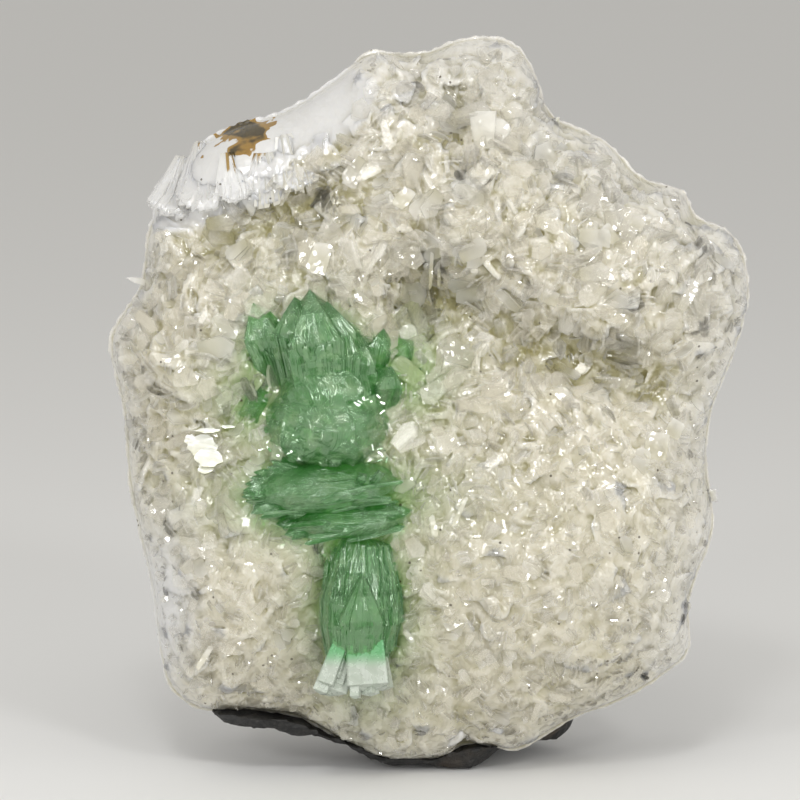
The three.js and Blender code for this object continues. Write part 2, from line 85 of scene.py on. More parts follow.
# Swells and hollows of the face: x, z, reach across, reach up, rise, and slant in degrees.
SWELLS = [
    (-45, 77, 10, 9, 3, 0),  # left shoulder
    (-31, 106, 16, 5.5, 3.5, 30),  # broken ledge at the upper left
    (-29, 93, 14, 5, -6, 16),  # recess under that ledge
    (-9, 109, 10, 9, 2.5, 0),  # top, left of the groove
    (2, 112, 3, 9, -4, 0),  # groove in the top
    (10, 111, 8, 9, 2.5, 0),  # top, right of the groove
    (8, 95, 11, 9, 4, 0),  # lump above the pit
    (-2, 82, 7, 8, -7, 0),  # pit beside the green crystals
    (27, 100, 10, 8, 3.5, 0),  # upper right lumps
    (41, 88, 10, 10, 3.5, 0),
    (26, 86, 12, 7, 3, 0),
    (24, 70, 21, 5, -6.5, -19),  # valley from the pit to the right edge
    (20, 38, 25, 23, 5, 0),  # broad dome at the lower right
    (-37, 37, 13, 17, 2.5, 0),  # low dome at the lower left
    (-15, 36, 11, 20, -3, 0),  # trough that holds the green sheaf
    (-13, 88, 5, 5, 2.5, 0),  # lump between recess and pit
]


def closed_curve(corners, steps):
    """Places on a smooth closed line through the corners, with steps places from each to the next."""
    start = np.array(corners, float)
    before, end, after = (np.roll(start, shift, axis=0) for shift in (1, -1, -2))

    def knot(a, b):
        return np.sqrt(np.linalg.norm(b - a, axis=1))[:, None]

    k0, k1, k2 = knot(before, start), knot(start, end), knot(end, after)
    leave = ((start - before) / k0 - (end - before) / (k0 + k1) + (end - start) / k1) * k1
    arrive = ((end - start) / k1 - (after - start) / (k1 + k2) + (after - end) / k2) * k1
    t = np.linspace(0, 1, steps, endpoint=False)[None, :, None]
    start, end, leave, arrive = (a[:, None, :] for a in (start, end, leave, arrive))
    bend = -3 * start + 3 * end - 2 * leave - arrive
    twist = 2 * start - 2 * end + leave + arrive
    return (start + leave * t + bend * t**2 + twist * t**3).reshape(-1, 2)


edge_line = closed_curve(CRUST_OUTLINE, 30) - (HEART_X, HEART_Z)
edge_angles = np.arctan2(edge_line[:, 1], edge_line[:, 0])
edge_radii = np.hypot(edge_line[:, 0], edge_line[:, 1])


def edge_radius(angle):
    """From the heart of the crust to the foot of the blades round its edge."""
    return np.interp(angle, edge_angles, edge_radii, period=2 * math.pi) - BLADE_REACH


def share_out(x, z):
    """How far out a place lies: 0 at the heart and 1 at the edge."""
    return np.hypot(x - HEART_X, z - HEART_Z) / edge_radius(np.arctan2(z - HEART_Z, x - HEART_X))


def slanted(x, z, middle_x, middle_z, slant):
    """Places measured from a middle, along a line at this slant in degrees and across it."""
    c, s = math.cos(math.radians(slant)), math.sin(math.radians(slant))
    return (x - middle_x) * c + (z - middle_z) * s, (z - middle_z) * c - (x - middle_x) * s


def swell(x, z):
    """How far the swells bring the face forwards at each place."""
    total = np.zeros_like(x)
    for middle_x, middle_z, reach_x, reach_z, rise, slant in SWELLS:
        u, v = slanted(x, z, middle_x, middle_z, slant)
        total += rise * np.exp(-((u / reach_x) ** 2) - (v / reach_z) ** 2)
    return total


def face_y(x, z):
    """y of the crust's face, as the solid has it, without lumps."""
    x, z = np.asarray(x, float), np.asarray(z, float)
    out = np.clip(share_out(x, z), 0, 1)
    return RIM_FRONT - FACE_BULGE * (1 - out**3.4) ** 0.55 - swell(x, z) * (1 - out**7)


def caps(x, z, pitch, seed):
    """Rounded caps, one in each cell of a random pattern: 1 at their middles and 0 between them."""
    near = [noise.voronoi(Vector((a / pitch, seed, b / pitch)))[0][0] for a, b in zip(x, z)]
    return np.sqrt(np.clip(1 - (np.array(near) / 0.8) ** 2, 0, 1))


def facets(x, z, pitch, slope, seed):
    """The tops of close-set crystal ends: at each place the highest of the tilted planes round it."""
    draw = np.random.default_rng(seed)
    reach = 64
    count = int((2 * reach / pitch) ** 2)
    ends = draw.uniform((-reach, -2), (reach, 2 * reach - 2), (count, 2))
    tilts = draw.normal(0, slope, (count, 2))
    heights = draw.uniform(-0.2, 0.2, count) * pitch
    tree = kdtree.KDTree(count)
    for i, (a, b) in enumerate(ends):
        tree.insert((a, b, 0), i)
    tree.balance()
    near = np.array([[found[1] for found in tree.find_n((a, b, 0), 5)] for a, b in zip(x, z)])
    off = np.stack([x, z], axis=1)[:, None, :] - ends[near]
    fall = 0.35 / pitch * (off**2).sum(axis=2)
    return (heights[near] + (tilts[near] * off).sum(axis=2) - fall).max(axis=1)


# Where the crust is broken or stained: x, z, reach along, reach across, slant in degrees.
FLANK = (-22.0, 109.5, 10.0, 4.6, 27.0)
LEDGE = (-35.5, 101.5, 12.5, 6.0, 33.0)
RUST = (-32.0, 107.2, 4.4, 2.5, 20.0)


def patch(x, z, place):
    """1 inside an ellipse on the face, falling to 0 just outside it."""
    middle_x, middle_z, along, across, slant = place
    u, v = slanted(x, z, middle_x, middle_z, slant)
    return np.clip(1 - (np.hypot(u / along, v / across) - 1) * 3, 0, 1)


def broken(x, z):
    """1 where the crust is broken bare, on the flank and the ledge, and 0 elsewhere."""
    return np.maximum(patch(x, z, FLANK), patch(x, z, LEDGE))


def lumps(x, z):
    """How far the bed stands up from the smooth face: large lumps, each set with two sizes of ends."""
    large = 2.0 * (caps(x, z, 9.0, 3.1) - 0.7)
    grown = large + 0.55 * facets(x, z, 3.4, 0.5, 8) + 0.5 * facets(x, z, 1.7, 0.5, 9) - 0.6
    bare = broken(x, z)
    return grown * (1 - bare) + bare * (0.4 * facets(x, z, 4.5, 0.25, 6) - 1.4 * patch(x, z, LEDGE))


# The green crystals' places on the face: x, z, reach across, reach up.
GREEN_SPOTS = [
    (-20, 69, 9.5, 13.5),
    (-27.6, 73.5, 3.8, 7.5),
    (-18, 49.5, 12.5, 6),
    (-13, 31, 6.6, 12.5),
    (-5.6, 70.5, 3.6, 5),
    (-30.4, 64.6, 3, 3.6),
]


def beyond_green(x, z):
    """Distance from the nearest green cluster, about in millimetres, negative over it."""
    each = [
        (np.hypot((x - gx) / rx, (z - gz) / rz) - 1) * math.sqrt(rx * rz)
        for gx, gz, rx, rz in GREEN_SPOTS
    ]
    return np.min(each, axis=0)


def rust(x, z):
    """How rusty a place is: most in the middle of the stain, with a ragged edge."""
    middle_x, middle_z, along, across, slant = RUST
    u, v = slanted(x, z, middle_x, middle_z, slant)
    ragged = [noise.fractal(Vector((a * 0.45, 7, b * 0.45)), 0.7, 2.1, 4) for a, b in zip(u, v)]
    return np.clip(1.0 - np.hypot(u / along, v / across) * 0.5 + 0.5 * np.array(ragged), 0, 1)


DEEPEST_HOLLOW, DEEPEST_GAP = 7.5, 1.6  # depths at which the painted shade of the face and of the gaps in it is darkest
WHITE_LEFT = (-45, 30, 5, 13)  # the broken white face low on the left edge: x, z, reach across, reach up
TOP_WHITE, RIM_WHITE, RIGHT_EDGE_PAINTED_LIGHT = 1.2, 0.42, 0.4  # how white the broken top and the edges are; the right edge's whiteness is painted light from the side
GREEN_SPILL_FADE = 3.8  # distance over which the painted green light round the apophyllite fades
GREEN_SPILL_TOP, GREEN_SPILL_FALL = 84, 14  # where the painted green light ends above the crown, and over what height it fades there
LAST_BLADES = 0.974  # share out at which blades no longer find room


def traits(x, z, rise_of_lumps):
    """What colours and crowds the blades at each place, as named shares from 0 to 1."""
    out = share_out(x, z)
    angle = np.arctan2(z - HEART_Z, x - HEART_X)
    from_green = beyond_green(x, z)
    # hollow: how deep a place lies in a hollow or a gap; the colour paints shade there
    hollow = np.clip(-swell(x, z) / DEEPEST_HOLLOW, 0, 1) + np.clip(-rise_of_lumps / DEEPEST_GAP, 0, 0.5)
    left_x, left_z, across, up = WHITE_LEFT
    broken_left = np.exp(-(((x - left_x) / across) ** 2) - ((z - left_z) / up) ** 2)
    rim = RIM_WHITE * np.clip((out - 0.9) / 0.1, 0, 1) * np.clip(np.sin(angle) + 1.1, 0, 1)
    # painted light: a band along the right edge is whitened for the light that falls on that side
    right_edge_painted_light = RIGHT_EDGE_PAINTED_LIGHT * np.clip((out - 0.75) / 0.2, 0, 1) * (np.cos(angle - 0.5) > 0.2)
    white = broken_left + TOP_WHITE * broken(x, z) + np.maximum(rim, right_edge_painted_light)
    # green: painted green light spilled from the apophyllite, fading with distance from it and above the
    # crown
    fade = np.clip((GREEN_SPILL_TOP - z) / GREEN_SPILL_FALL, 0.2, 1)
    return {
        "hollow": np.clip(hollow, 0, 1),
        "green": np.exp(-np.clip(from_green, 0, None) / GREEN_SPILL_FADE) * fade,
        "rust": rust(x, z),
        "white": np.clip(white, 0, 1),
        "room": (from_green > -1.6) * (1 - broken(x, z)) * (out < LAST_BLADES),
    }


def disc_grid(cells):
    """An even grid of quads over a disc of radius 1: share out and angle of its places, and its quads."""
    line = np.linspace(-1, 1, cells + 1)
    u, v = np.meshgrid(line, line)
    wide = np.abs(u) > np.abs(v)
    reach = np.where(wide, u, v)
    turn = np.where(wide, v, u) / np.where(reach == 0, 1, reach) * math.pi / 4
    angle = np.where(wide, turn, math.pi / 2 - turn)
    x, z = reach * np.cos(angle), reach * np.sin(angle)
    corner = np.arange(cells * (cells + 1)).reshape(cells, cells + 1)[:, :-1].ravel()
    quads = np.stack([corner, corner + 1, corner + cells + 2, corner + cells + 1], axis=1)
    return np.hypot(x, z).ravel(), np.arctan2(z, x).ravel(), quads


def add_values(mesh, title, values):
    """Stores one number for each vertex of a mesh."""
    layer = mesh.attributes.new(title, "FLOAT", "POINT")
    layer.data.foreach_set("value", np.asarray(values, np.float32))


def mesh_object(name, places, faces, attributes=None, uvs=None):
    """A mesh object from places in millimetres, with vertex attributes and a UV map of its corners."""
    mesh = bpy.data.meshes.new(name)
    mesh.from_pydata((np.asarray(places, float) * MM).tolist(), [], [list(map(int, f)) for f in faces])
    for title, values in (attributes or {}).items():
        add_values(mesh, title, values)
    if uvs is not None:
        mesh.uv_layers.new(name="grain").data.foreach_set("uv", np.asarray(uvs, np.float32).ravel())
    made = bpy.data.objects.new(name, mesh)
    bpy.context.scene.collection.objects.link(made)
    return made


def face_out(made):
    """Turns every face of a closed mesh outwards."""
    work = bmesh.new()
    work.from_mesh(made.data)
    bmesh.ops.recalc_face_normals(work, faces=work.faces)
    work.to_mesh(made.data)
    work.free()
    return made


BED_CELLS = 260
EDGE_ROWS = [(1.012, 0.0), (1.008, 0.5), (0.995, 1.0)]  # share out, and share of the way to the back
BACK_ROWS = [0.97, 0.9, 0.8, 0.65, 0.45, 0.2]  # shares out


def bed_mesh():
    """The closed body of the crust: its face, its ragged edge and its back."""
    share, angle, quads = disc_grid(BED_CELLS)
    radius = share * edge_radius(angle)
    x, z = HEART_X + radius * np.cos(angle), HEART_Z + radius * np.sin(angle)
    rise = lumps(x, z)
    y = face_y(x, z) - rise * np.clip((1 - share) * 9, 0.25, 1)
    places = [np.stack([x, y, z], axis=1)]
    face_traits = traits(x, z, rise)
    values = {title: [v] for title, v in face_traits.items()}

    n = BED_CELLS + 1
    grid = np.arange(n * n).reshape(n, n)
    loop = np.concatenate([grid[0, :-1], grid[:-1, -1], grid[-1, :0:-1], grid[:0:-1, 0]])
    loop_angle = angle[loop]
    draw = random.Random(5)
    ragged = np.array([draw.uniform(-0.35, 0.35) for _ in loop])
    faces = quads.tolist()
    ring = loop
    total = len(x)
    rows = [(s, RIM_FRONT + (RIM_BACK - RIM_FRONT) * t, 1.0) for s, t in EDGE_ROWS]
    rows += [(s, RIM_BACK - SEAM_BULGE * (1 - s**2), 0.2) for s in BACK_ROWS]
    for s, row_y, rough in rows:
        r = s * edge_radius(loop_angle) + ragged * rough
        rx, rz = HEART_X + r * np.cos(loop_angle), HEART_Z + r * np.sin(loop_angle)
        places.append(np.stack([rx, np.full_like(rx, row_y), rz], axis=1))
        for title in values:
            values[title].append(face_traits[title][loop])
        new = total + np.arange(len(loop))
        for i in range(len(loop)):
            j = (i + 1) % len(loop)
            faces.append([ring[i], ring[j], new[j], new[i]])
        ring = new
        total += len(loop)
    places.append(np.array([[HEART_X, RIM_BACK - SEAM_BULGE, HEART_Z]]))
    for title in values:
        values[title].append(np.zeros(1))
    for i in range(len(loop)):
        faces.append([ring[i], ring[(i + 1) % len(loop)], total])
    joined = {title: np.concatenate(v) for title, v in values.items()}
    return face_out(mesh_object("stilbite_bed", np.concatenate(places), faces, joined))


bed = bed_mesh()


# ---------------------------------------------------------------- the stilbite of the crust, as a material
# Stilbite is milky and lets light in for a few millimetres. Its blades are painted whitest at their raised
# ends (painted light), and the crust is painted olive where light has to come from deep between them (painted
# shade). Painted green light from the apophyllite falls on what lies next to it, and dark specks of iron and
# manganese oxide sit in the hollows.


def node(tree, kind, inputs=None, **settings):
    """Adds a node: settings are its properties, inputs its sockets' values or the sockets they come from."""
    made = tree.nodes.new(kind)
    for name, value in settings.items():
        setattr(made, name, value)
    for name, value in (inputs or {}).items():
        if isinstance(value, bpy.types.NodeSocket):
            tree.links.new(value, made.inputs[name])
        else:
            made.inputs[name].default_value = value
    return made


def maths(tree, operation, first, second=0.0, third=0.0, clamp=False):
    """The result of a sum, a product or a comparison of numbers."""
    values = {0: first, 1: second, 2: third}
    return node(tree, "ShaderNodeMath", values, operation=operation, use_clamp=clamp).outputs[0]


def vectors(tree, operation, first, second=(0.0, 0.0, 0.0)):
    """The same for directions and places."""
    return node(tree, "ShaderNodeVectorMath", {0: first, 1: second}, operation=operation).outputs[0]


def scaled(tree, vector, share):
    """A direction made longer or shorter."""
    return node(tree, "ShaderNodeVectorMath", {0: vector, "Scale": share}, operation="SCALE").outputs[0]


def blend_colours(tree, share, first, second):
    """The mix of two colours, with this share of the second."""
    values = {0: share, 6: first, 7: second}
    return node(tree, "ShaderNodeMix", values, data_type="RGBA", clamp_factor=True).outputs[2]


def spread(tree, value, low, high):
    """A value stretched so that low becomes 0 and high becomes 1."""
    values = {"Value": value, "From Min": low, "From Max": high}
    kind = "SMOOTHSTEP"
    return node(tree, "ShaderNodeMapRange", values, clamp=True, interpolation_type=kind).outputs["Result"]


def trait(tree, name):
    """A number kept at each vertex of the piece."""
    return node(tree, "ShaderNodeAttribute", attribute_name=name).outputs["Fac"]


def own_place(tree):
    """Where a point lies on the finished piece, in metres."""
    return node(tree, "ShaderNodeTexCoord").outputs["Object"]


def cells(tree, place, per_metre):
    """A random pattern of cells: its node, with a colour drawn for each cell."""
    return node(tree, "ShaderNodeTexVoronoi", {"Vector": place, "Scale": per_metre}, feature="F1")


def cloud(tree, place, per_metre, detail=3.0, roughness=0.55):
    """An uneven, cloudy value between 0 and 1."""
    values = {"Vector": place, "Scale": per_metre, "Detail": detail, "Roughness": roughness}
    return node(tree, "ShaderNodeTexNoise", values).outputs["Fac"]


def group(name, inputs, outputs):
    """An empty shader node group with named sockets: its tree, its input node and its output node."""
    tree = bpy.data.node_groups.new(name, "ShaderNodeTree")
    for title, kind in inputs.items():
        tree.interface.new_socket(title, in_out="INPUT", socket_type="NodeSocket" + kind)
    for title, kind in outputs.items():
        tree.interface.new_socket(title, in_out="OUTPUT", socket_type="NodeSocket" + kind)
    return tree, node(tree, "NodeGroupInput"), node(tree, "NodeGroupOutput")


MIDDLE_GREY = (0.5, 0.5, 0.5)


def leaning_group():
    """A normal leaned a little by the colour drawn for its cell."""
    sockets = {"Normal": "Vector", "Drawn": "Vector", "Amount": "Float"}
    tree, entry, leave = group("leaning faces", sockets, {"Normal": "Vector"})
    lean = vectors(tree, "SUBTRACT", entry.outputs["Drawn"], MIDDLE_GREY)
    lean = scaled(tree, lean, entry.outputs["Amount"])
    whole = vectors(tree, "ADD", entry.outputs["Normal"], lean)
    tree.links.new(vectors(tree, "NORMALIZE", whole), leave.inputs["Normal"])
    return tree


leaning_faces = leaning_group()


def leaned(tree, normal, drawn, amount):
    """A normal after it went through the group above."""
    values = {"Normal": normal, "Drawn": drawn, "Amount": amount}
    return node(tree, "ShaderNodeGroup", values, node_tree=leaning_faces).outputs["Normal"]


CREAM = (0.64, 0.59, 0.44, 1)
GREY_CREAM = (0.58, 0.54, 0.42, 1)
CLEAR_CREAM = (1, 0.96, 0.84, 1)
# olive, for painted shade where a place is sunk or hollow and for random mottle patches
OLIVE_MOTTLE_AND_SHADE = (0.33, 0.3, 0.14, 1)
SNOW = (0.66, 0.655, 0.64, 1)
# painted green light spilled from the apophyllite onto the crust
PAINTED_GREEN_SPILL = (0.23, 0.33, 0.12, 1)
OCHRE = (0.3, 0.18, 0.035, 1)
RUST_BROWN = (0.06, 0.042, 0.01, 1)
SPECK = (0.055, 0.038, 0.016, 1)
TRAITS = ["rise", "tone", "hollow", "white", "green", "rust"]


def stilbite_colour_group():
    """Colour of stilbite, with painted light, painted shade and painted green light by where a place lies."""
    inputs = {name.title(): "Float" for name in [*TRAITS, "mottle"]}
    tree, entry, leave = group("stilbite colour", inputs, {"Color": "Color"})
    given = entry.outputs
    # Painted shade: olive where a place is sunk on its blade or lies in a hollow, and in random mottle.
    sunk = maths(tree, "SUBTRACT", 1.0, given["Rise"])
    deep = maths(tree, "MULTIPLY_ADD", sunk, 0.75, maths(tree, "MULTIPLY", given["Hollow"], 0.6))
    deep = maths(tree, "ADD", deep, maths(tree, "MULTIPLY_ADD", given["Mottle"], 1.0, -0.6))
    body = blend_colours(tree, given["Tone"], CREAM, GREY_CREAM)
    colour = blend_colours(tree, maths(tree, "MULTIPLY", deep, 0.9, clamp=True), body, OLIVE_MOTTLE_AND_SHADE)
    # Painted light: places that stand out are paled towards snow white, on top of the real white of broken
    # faces.
    painted_light_on_tips = maths(tree, "MULTIPLY", given["Rise"], 0.9)
    pale = maths(tree, "MULTIPLY_ADD", given["Tone"], painted_light_on_tips, given["White"])
    colour = blend_colours(tree, maths(tree, "MULTIPLY", pale, 0.8, clamp=True), colour, SNOW)
    # Painted green light spilled from the apophyllite, a little stronger where a place is sunk.
    green_spill_light = maths(tree, "MULTIPLY", given["Green"], maths(tree, "MULTIPLY_ADD", sunk, 0.2, 0.9))
    colour = blend_colours(tree, green_spill_light, colour, PAINTED_GREEN_SPILL)
    eaten = maths(tree, "ADD", given["Rust"], given["Mottle"])
    colour = blend_colours(tree, spread(tree, eaten, 0.98, 1.03), colour, OCHRE)
    colour = blend_colours(tree, spread(tree, eaten, 1.1, 1.3), colour, RUST_BROWN)
    tree.links.new(colour, leave.inputs["Color"])
    return tree


stilbite_colour = stilbite_colour_group()


def principled(name, constants):
    """A new material with a Principled BSDF whose plain sockets have these values: material, tree, shader."""
    made = bpy.data.materials.new(name)
    made.use_nodes = True
    tree = made.node_tree
    shader = tree.nodes["Principled BSDF"]
    for socket, value in constants.items():
        shader.inputs[socket].default_value = value
    return made, tree, shader


def stilbite_tint(tree, mottle):
    """The stilbite colour group in a material, fed with the mesh's own traits."""
    surface = node(tree, "ShaderNodeGroup", node_tree=stilbite_colour)
    for name in TRAITS:
        tree.links.new(trait(tree, name), surface.inputs[name.title()])
    tree.links.new(mottle, surface.inputs["Mottle"])
    return surface.outputs["Color"]


PETALS_PER_METRE, FIBRES_PER_METRE = 380.0, 2600.0
FIBRE_SHAPE = (1.0, 0.22, 0.6)  # how the cells of the fibres are drawn out
PETAL_LEAN = 0.8  # how far the fibres of one petal lean together, beside their own lean


def fibre_group():
    """Normal of fine crystal faces: each petal-sized cell has fibres and end faces that run one way."""
    sockets = {"Place": "Vector", "Normal": "Vector", "Tilt": "Float"}
    tree, entry, leave = group("stilbite fibres", sockets, {"Normal": "Vector"})
    place = entry.outputs["Place"]
    petal = cells(tree, place, PETALS_PER_METRE).outputs["Color"]
    part = node(tree, "ShaderNodeSeparateColor", {0: petal})
    angle = maths(tree, "MULTIPLY", part.outputs[0], 2 * math.pi)
    axis = vectors(tree, "SUBTRACT", petal, MIDDLE_GREY)
    values = {"Vector": place, "Axis": axis, "Angle": angle}
    turned_place = node(tree, "ShaderNodeVectorRotate", values, rotation_type="AXIS_ANGLE").outputs[0]
    faces = cells(tree, vectors(tree, "MULTIPLY", turned_place, FIBRE_SHAPE), FIBRES_PER_METRE)
    lean = vectors(tree, "SUBTRACT", faces.outputs["Color"], MIDDLE_GREY)
    lean = vectors(tree, "ADD", lean, scaled(tree, axis, PETAL_LEAN))
    whole = vectors(tree, "ADD", entry.outputs["Normal"], scaled(tree, lean, entry.outputs["Tilt"]))
    tree.links.new(vectors(tree, "NORMALIZE", whole), leave.inputs["Normal"])
    return tree


stilbite_fibres = fibre_group()


SPECK_CELLS_PER_METRE = 620.0
SPECKED_CELLS, SPECK_RADIUS = 0.12, 0.14  # share of the cells with a speck, and its radius in cells
LIGHT_REACH = 2.6 * MM  # how far light gets inside milky stilbite
FIBRE_TILT, WHITE_TILT = 0.64, -0.5  # how far fibres lean, and what of it is lost where the crust is white


def bed_material():
    """Milky stilbite in the mass, with dark specks."""
    made, tree, shader = principled(
        "stilbite bed",
        {
            "IOR": 1.5,
            "Subsurface Weight": 1.0,
            "Subsurface Radius": (1.0, 0.97, 0.88),
            "Subsurface Scale": LIGHT_REACH,
            "Coat Weight": 0.5,
            "Coat Roughness": 0.05,
            "Coat IOR": 1.8,
        },
    )
    place = own_place(tree)
    mottle = cloud(tree, place, 330, 2.0)
    colour = stilbite_tint(tree, mottle)
    dots = cells(tree, place, SPECK_CELLS_PER_METRE)
    drawn = node(tree, "ShaderNodeSeparateColor", {0: dots.outputs["Color"]}).outputs[0]
    here = maths(tree, "GREATER_THAN", drawn, 1 - SPECKED_CELLS)
    near = maths(tree, "LESS_THAN", dots.outputs["Distance"], SPECK_RADIUS)
    speck = maths(tree, "MULTIPLY", here, near)
    colour = blend_colours(tree, maths(tree, "MULTIPLY", speck, 0.85), colour, SPECK)
    own = node(tree, "ShaderNodeNewGeometry").outputs["Normal"]
    tilt = maths(tree, "MULTIPLY_ADD", trait(tree, "white"), WHITE_TILT, FIBRE_TILT, clamp=True)
    values = {"Place": place, "Normal": own, "Tilt": tilt}
    fibres = node(tree, "ShaderNodeGroup", values, node_tree=stilbite_fibres)
    tree.links.new(colour, shader.inputs["Base Color"])
    tree.links.new(maths(tree, "MULTIPLY_ADD", mottle, 0.3, 0.02), shader.inputs["Roughness"])
    tree.links.new(fibres.outputs["Normal"], shader.inputs["Normal"])
    return made


STEPS_PER_METRE, STEP_LEAN = 1600.0, 0.3  # the growth steps on a blade's face, which glint one by one
BLADE_CLEARNESS = 0.55  # share of light that passes a blade unchanged
MILKY_LEAN = (0.0, -0.35, 0.2)  # light scattered inside a blade comes out on the open side
BLADE_SOFTNESS = 0.95  # share of the crust's own slope in how light plays on a blade's milky inside


def let_through(tree, shader, colour, share):
    """Lets a share of the light straight through a material, in this colour."""
    through = node(tree, "ShaderNodeBsdfTransparent", {"Color": colour})
    both = node(tree, "ShaderNodeMixShader", {0: share, 1: shader.outputs[0], 2: through.outputs[0]})
    tree.links.new(both.outputs[0], tree.nodes["Material Output"].inputs["Surface"])


def blade_material():
    """Stilbite in thin plates: half clear, half milky, and letting the lamps through to the bed."""
    made, tree, shader = principled(
        "stilbite blades",
        {"IOR": 1.5, "Transmission Weight": 0.3, "Coat Weight": 1.0, "Coat Roughness": 0.04, "Coat IOR": 2.0},
    )
    tone = trait(tree, "tone")
    # Painted shade: blades are paled towards clear cream less where they lie in hollows.
    pale = maths(tree, "MULTIPLY_ADD", trait(tree, "hollow"), -0.3, 0.3)
    pale = blend_colours(tree, pale, stilbite_tint(tree, tone), CLEAR_CREAM)
    tree.links.new(pale, shader.inputs["Base Color"])
    tree.links.new(maths(tree, "MULTIPLY_ADD", tone, 0.2, 0.1), shader.inputs["Roughness"])
    own = node(tree, "ShaderNodeNewGeometry").outputs["Normal"]
    lying = node(tree, "ShaderNodeAttribute", attribute_name="bed_normal").outputs["Vector"]
    soft = node(tree, "ShaderNodeMix", {0: BLADE_SOFTNESS, 4: own, 5: lying}, data_type="VECTOR").outputs[1]
    soft = vectors(tree, "NORMALIZE", vectors(tree, "ADD", soft, MILKY_LEAN))
    tree.links.new(soft, shader.inputs["Normal"])
    steps = cells(tree, own_place(tree), STEPS_PER_METRE).outputs["Color"]
    tree.links.new(leaned(tree, own, steps, STEP_LEAN), shader.inputs["Coat Normal"])
    coat = maths(tree, "MULTIPLY_ADD", trait(tree, "hollow"), -0.8, 1.0)
    tree.links.new(coat, shader.inputs["Coat Weight"])
    shadow = node(tree, "ShaderNodeLightPath").outputs["Is Shadow Ray"]
    let_through(tree, shader, (1, 1, 1, 1), maths(tree, "MAXIMUM", shadow, BLADE_CLEARNESS))
    return made


stilbite_bed = bed_material()
stilbite_blades = blade_material()

# ---------------------------------------------------------------- the blades on the crust's face
# Each sheaf is a few thin stilbite plates that share a root in the bed and fan out, bow-tie fashion. They
# grew outwards from every lump of the bed, so they crowd together and cross.

# Outlines of a blade for a width and a length of 1, from its root at the bottom.
POINTED = [(-0.3, 0), (0.3, 0), (0.46, 0.72), (0.08, 1), (-0.46, 0.78)]
CHISEL = [(-0.32, 0), (0.32, 0), (0.46, 0.9), (0.2, 0.98), (-0.44, 1)]
ROUNDED = [
    (-0.3, 0), (0.3, 0), (0.5, 0.72), (0.4, 0.92), (0.12, 1), (-0.24, 0.98), (-0.44, 0.86), (-0.48, 0.66),
]


def blade(outline, width, length, thickness):
    """Places, faces, rise from root to end, and grain of one plate that stands on the origin along +Z."""
    n = len(outline)
    places = [(u * width, side * thickness, v * length) for side in (-0.5, 0.5) for u, v in outline]
    rise = [v for _ in range(2) for u, v in outline]
    faces = [list(range(n)), list(range(2 * n - 1, n - 1, -1))]
    faces += [[(i + 1) % n, i, n + i, n + (i + 1) % n] for i in range(n)]
    grain = [(places[i][0] + 0.5 * places[i][1], places[i][2]) for face in faces for i in face]
    return np.array(places), faces, np.array(rise), np.array(grain)


def join_parts(parts):
    """Several (places, faces, rise, grain) as one."""
    places, faces, start = [], [], 0
    for part in parts:
        places.append(part[0])
        faces += [[i + start for i in face] for face in part[1]]
        start += len(part[0])
    rise = np.concatenate([part[2] for part in parts])
    return np.concatenate(places), faces, rise, np.concatenate([part[3] for part in parts])


def turned(part, fan, tip_forward, roll, shift=(0, 0, 0)):
    """A part turned about its root: in its own plane, forwards, and about its length, in degrees."""
    turn = (
        Matrix.Rotation(math.radians(fan), 3, "Y")
        @ Matrix.Rotation(math.radians(tip_forward), 3, "X")
        @ Matrix.Rotation(math.radians(roll), 3, "Z")
    )
    return (part[0] @ np.array(turn).T + np.array(shift), *part[1:])


def sheaf(draw, blades, fan, thin, thick):
    """A sheaf of unit length: blades that lie on each other like pages and fan out from one root."""
    parts = []
    for i in range(blades):
        outline = draw.choice([ROUNDED, ROUNDED, POINTED, CHISEL])
        at = (i + 0.5) / blades - 0.5
        plate = blade(outline, draw.uniform(0.4, 0.75), draw.uniform(0.75, 1), draw.uniform(thin, thick))
        opening = at * fan + draw.uniform(-4, 4)
        plate = turned(plate, draw.uniform(-22, 22), opening, draw.uniform(-8, 8), (0, -0.25 * at, 0))
        parts.append(plate)
    return join_parts(parts)


def sheaf_kinds(name, count, blades, fan, seed, thin, thick):
    """A collection of sheaves for the blades' node tree to choose from."""
    draw = random.Random(seed)
    kinds = bpy.data.collections.new(name)
    for i in range(count):
        places, faces, rise, grain = sheaf(draw, blades, fan, thin, thick)
        made = mesh_object(f"{name}_{i}", places / MM, faces, {"rise": rise}, grain * 4)
        bpy.context.scene.collection.objects.unlink(made)
        kinds.objects.link(made)
    return kinds


UPWARDS, ALL_WAYS = (0.0, 0.0, 1.0), (1.0, 1.0, 1.0)
SLIMMEST, BROADEST = (0.75, 0.75, 1.0), (1.25, 1.4, 1.0)  # how a sheaf's width and depth vary
CROWDING = 1.6  # sheaves tried for each square of the spacing


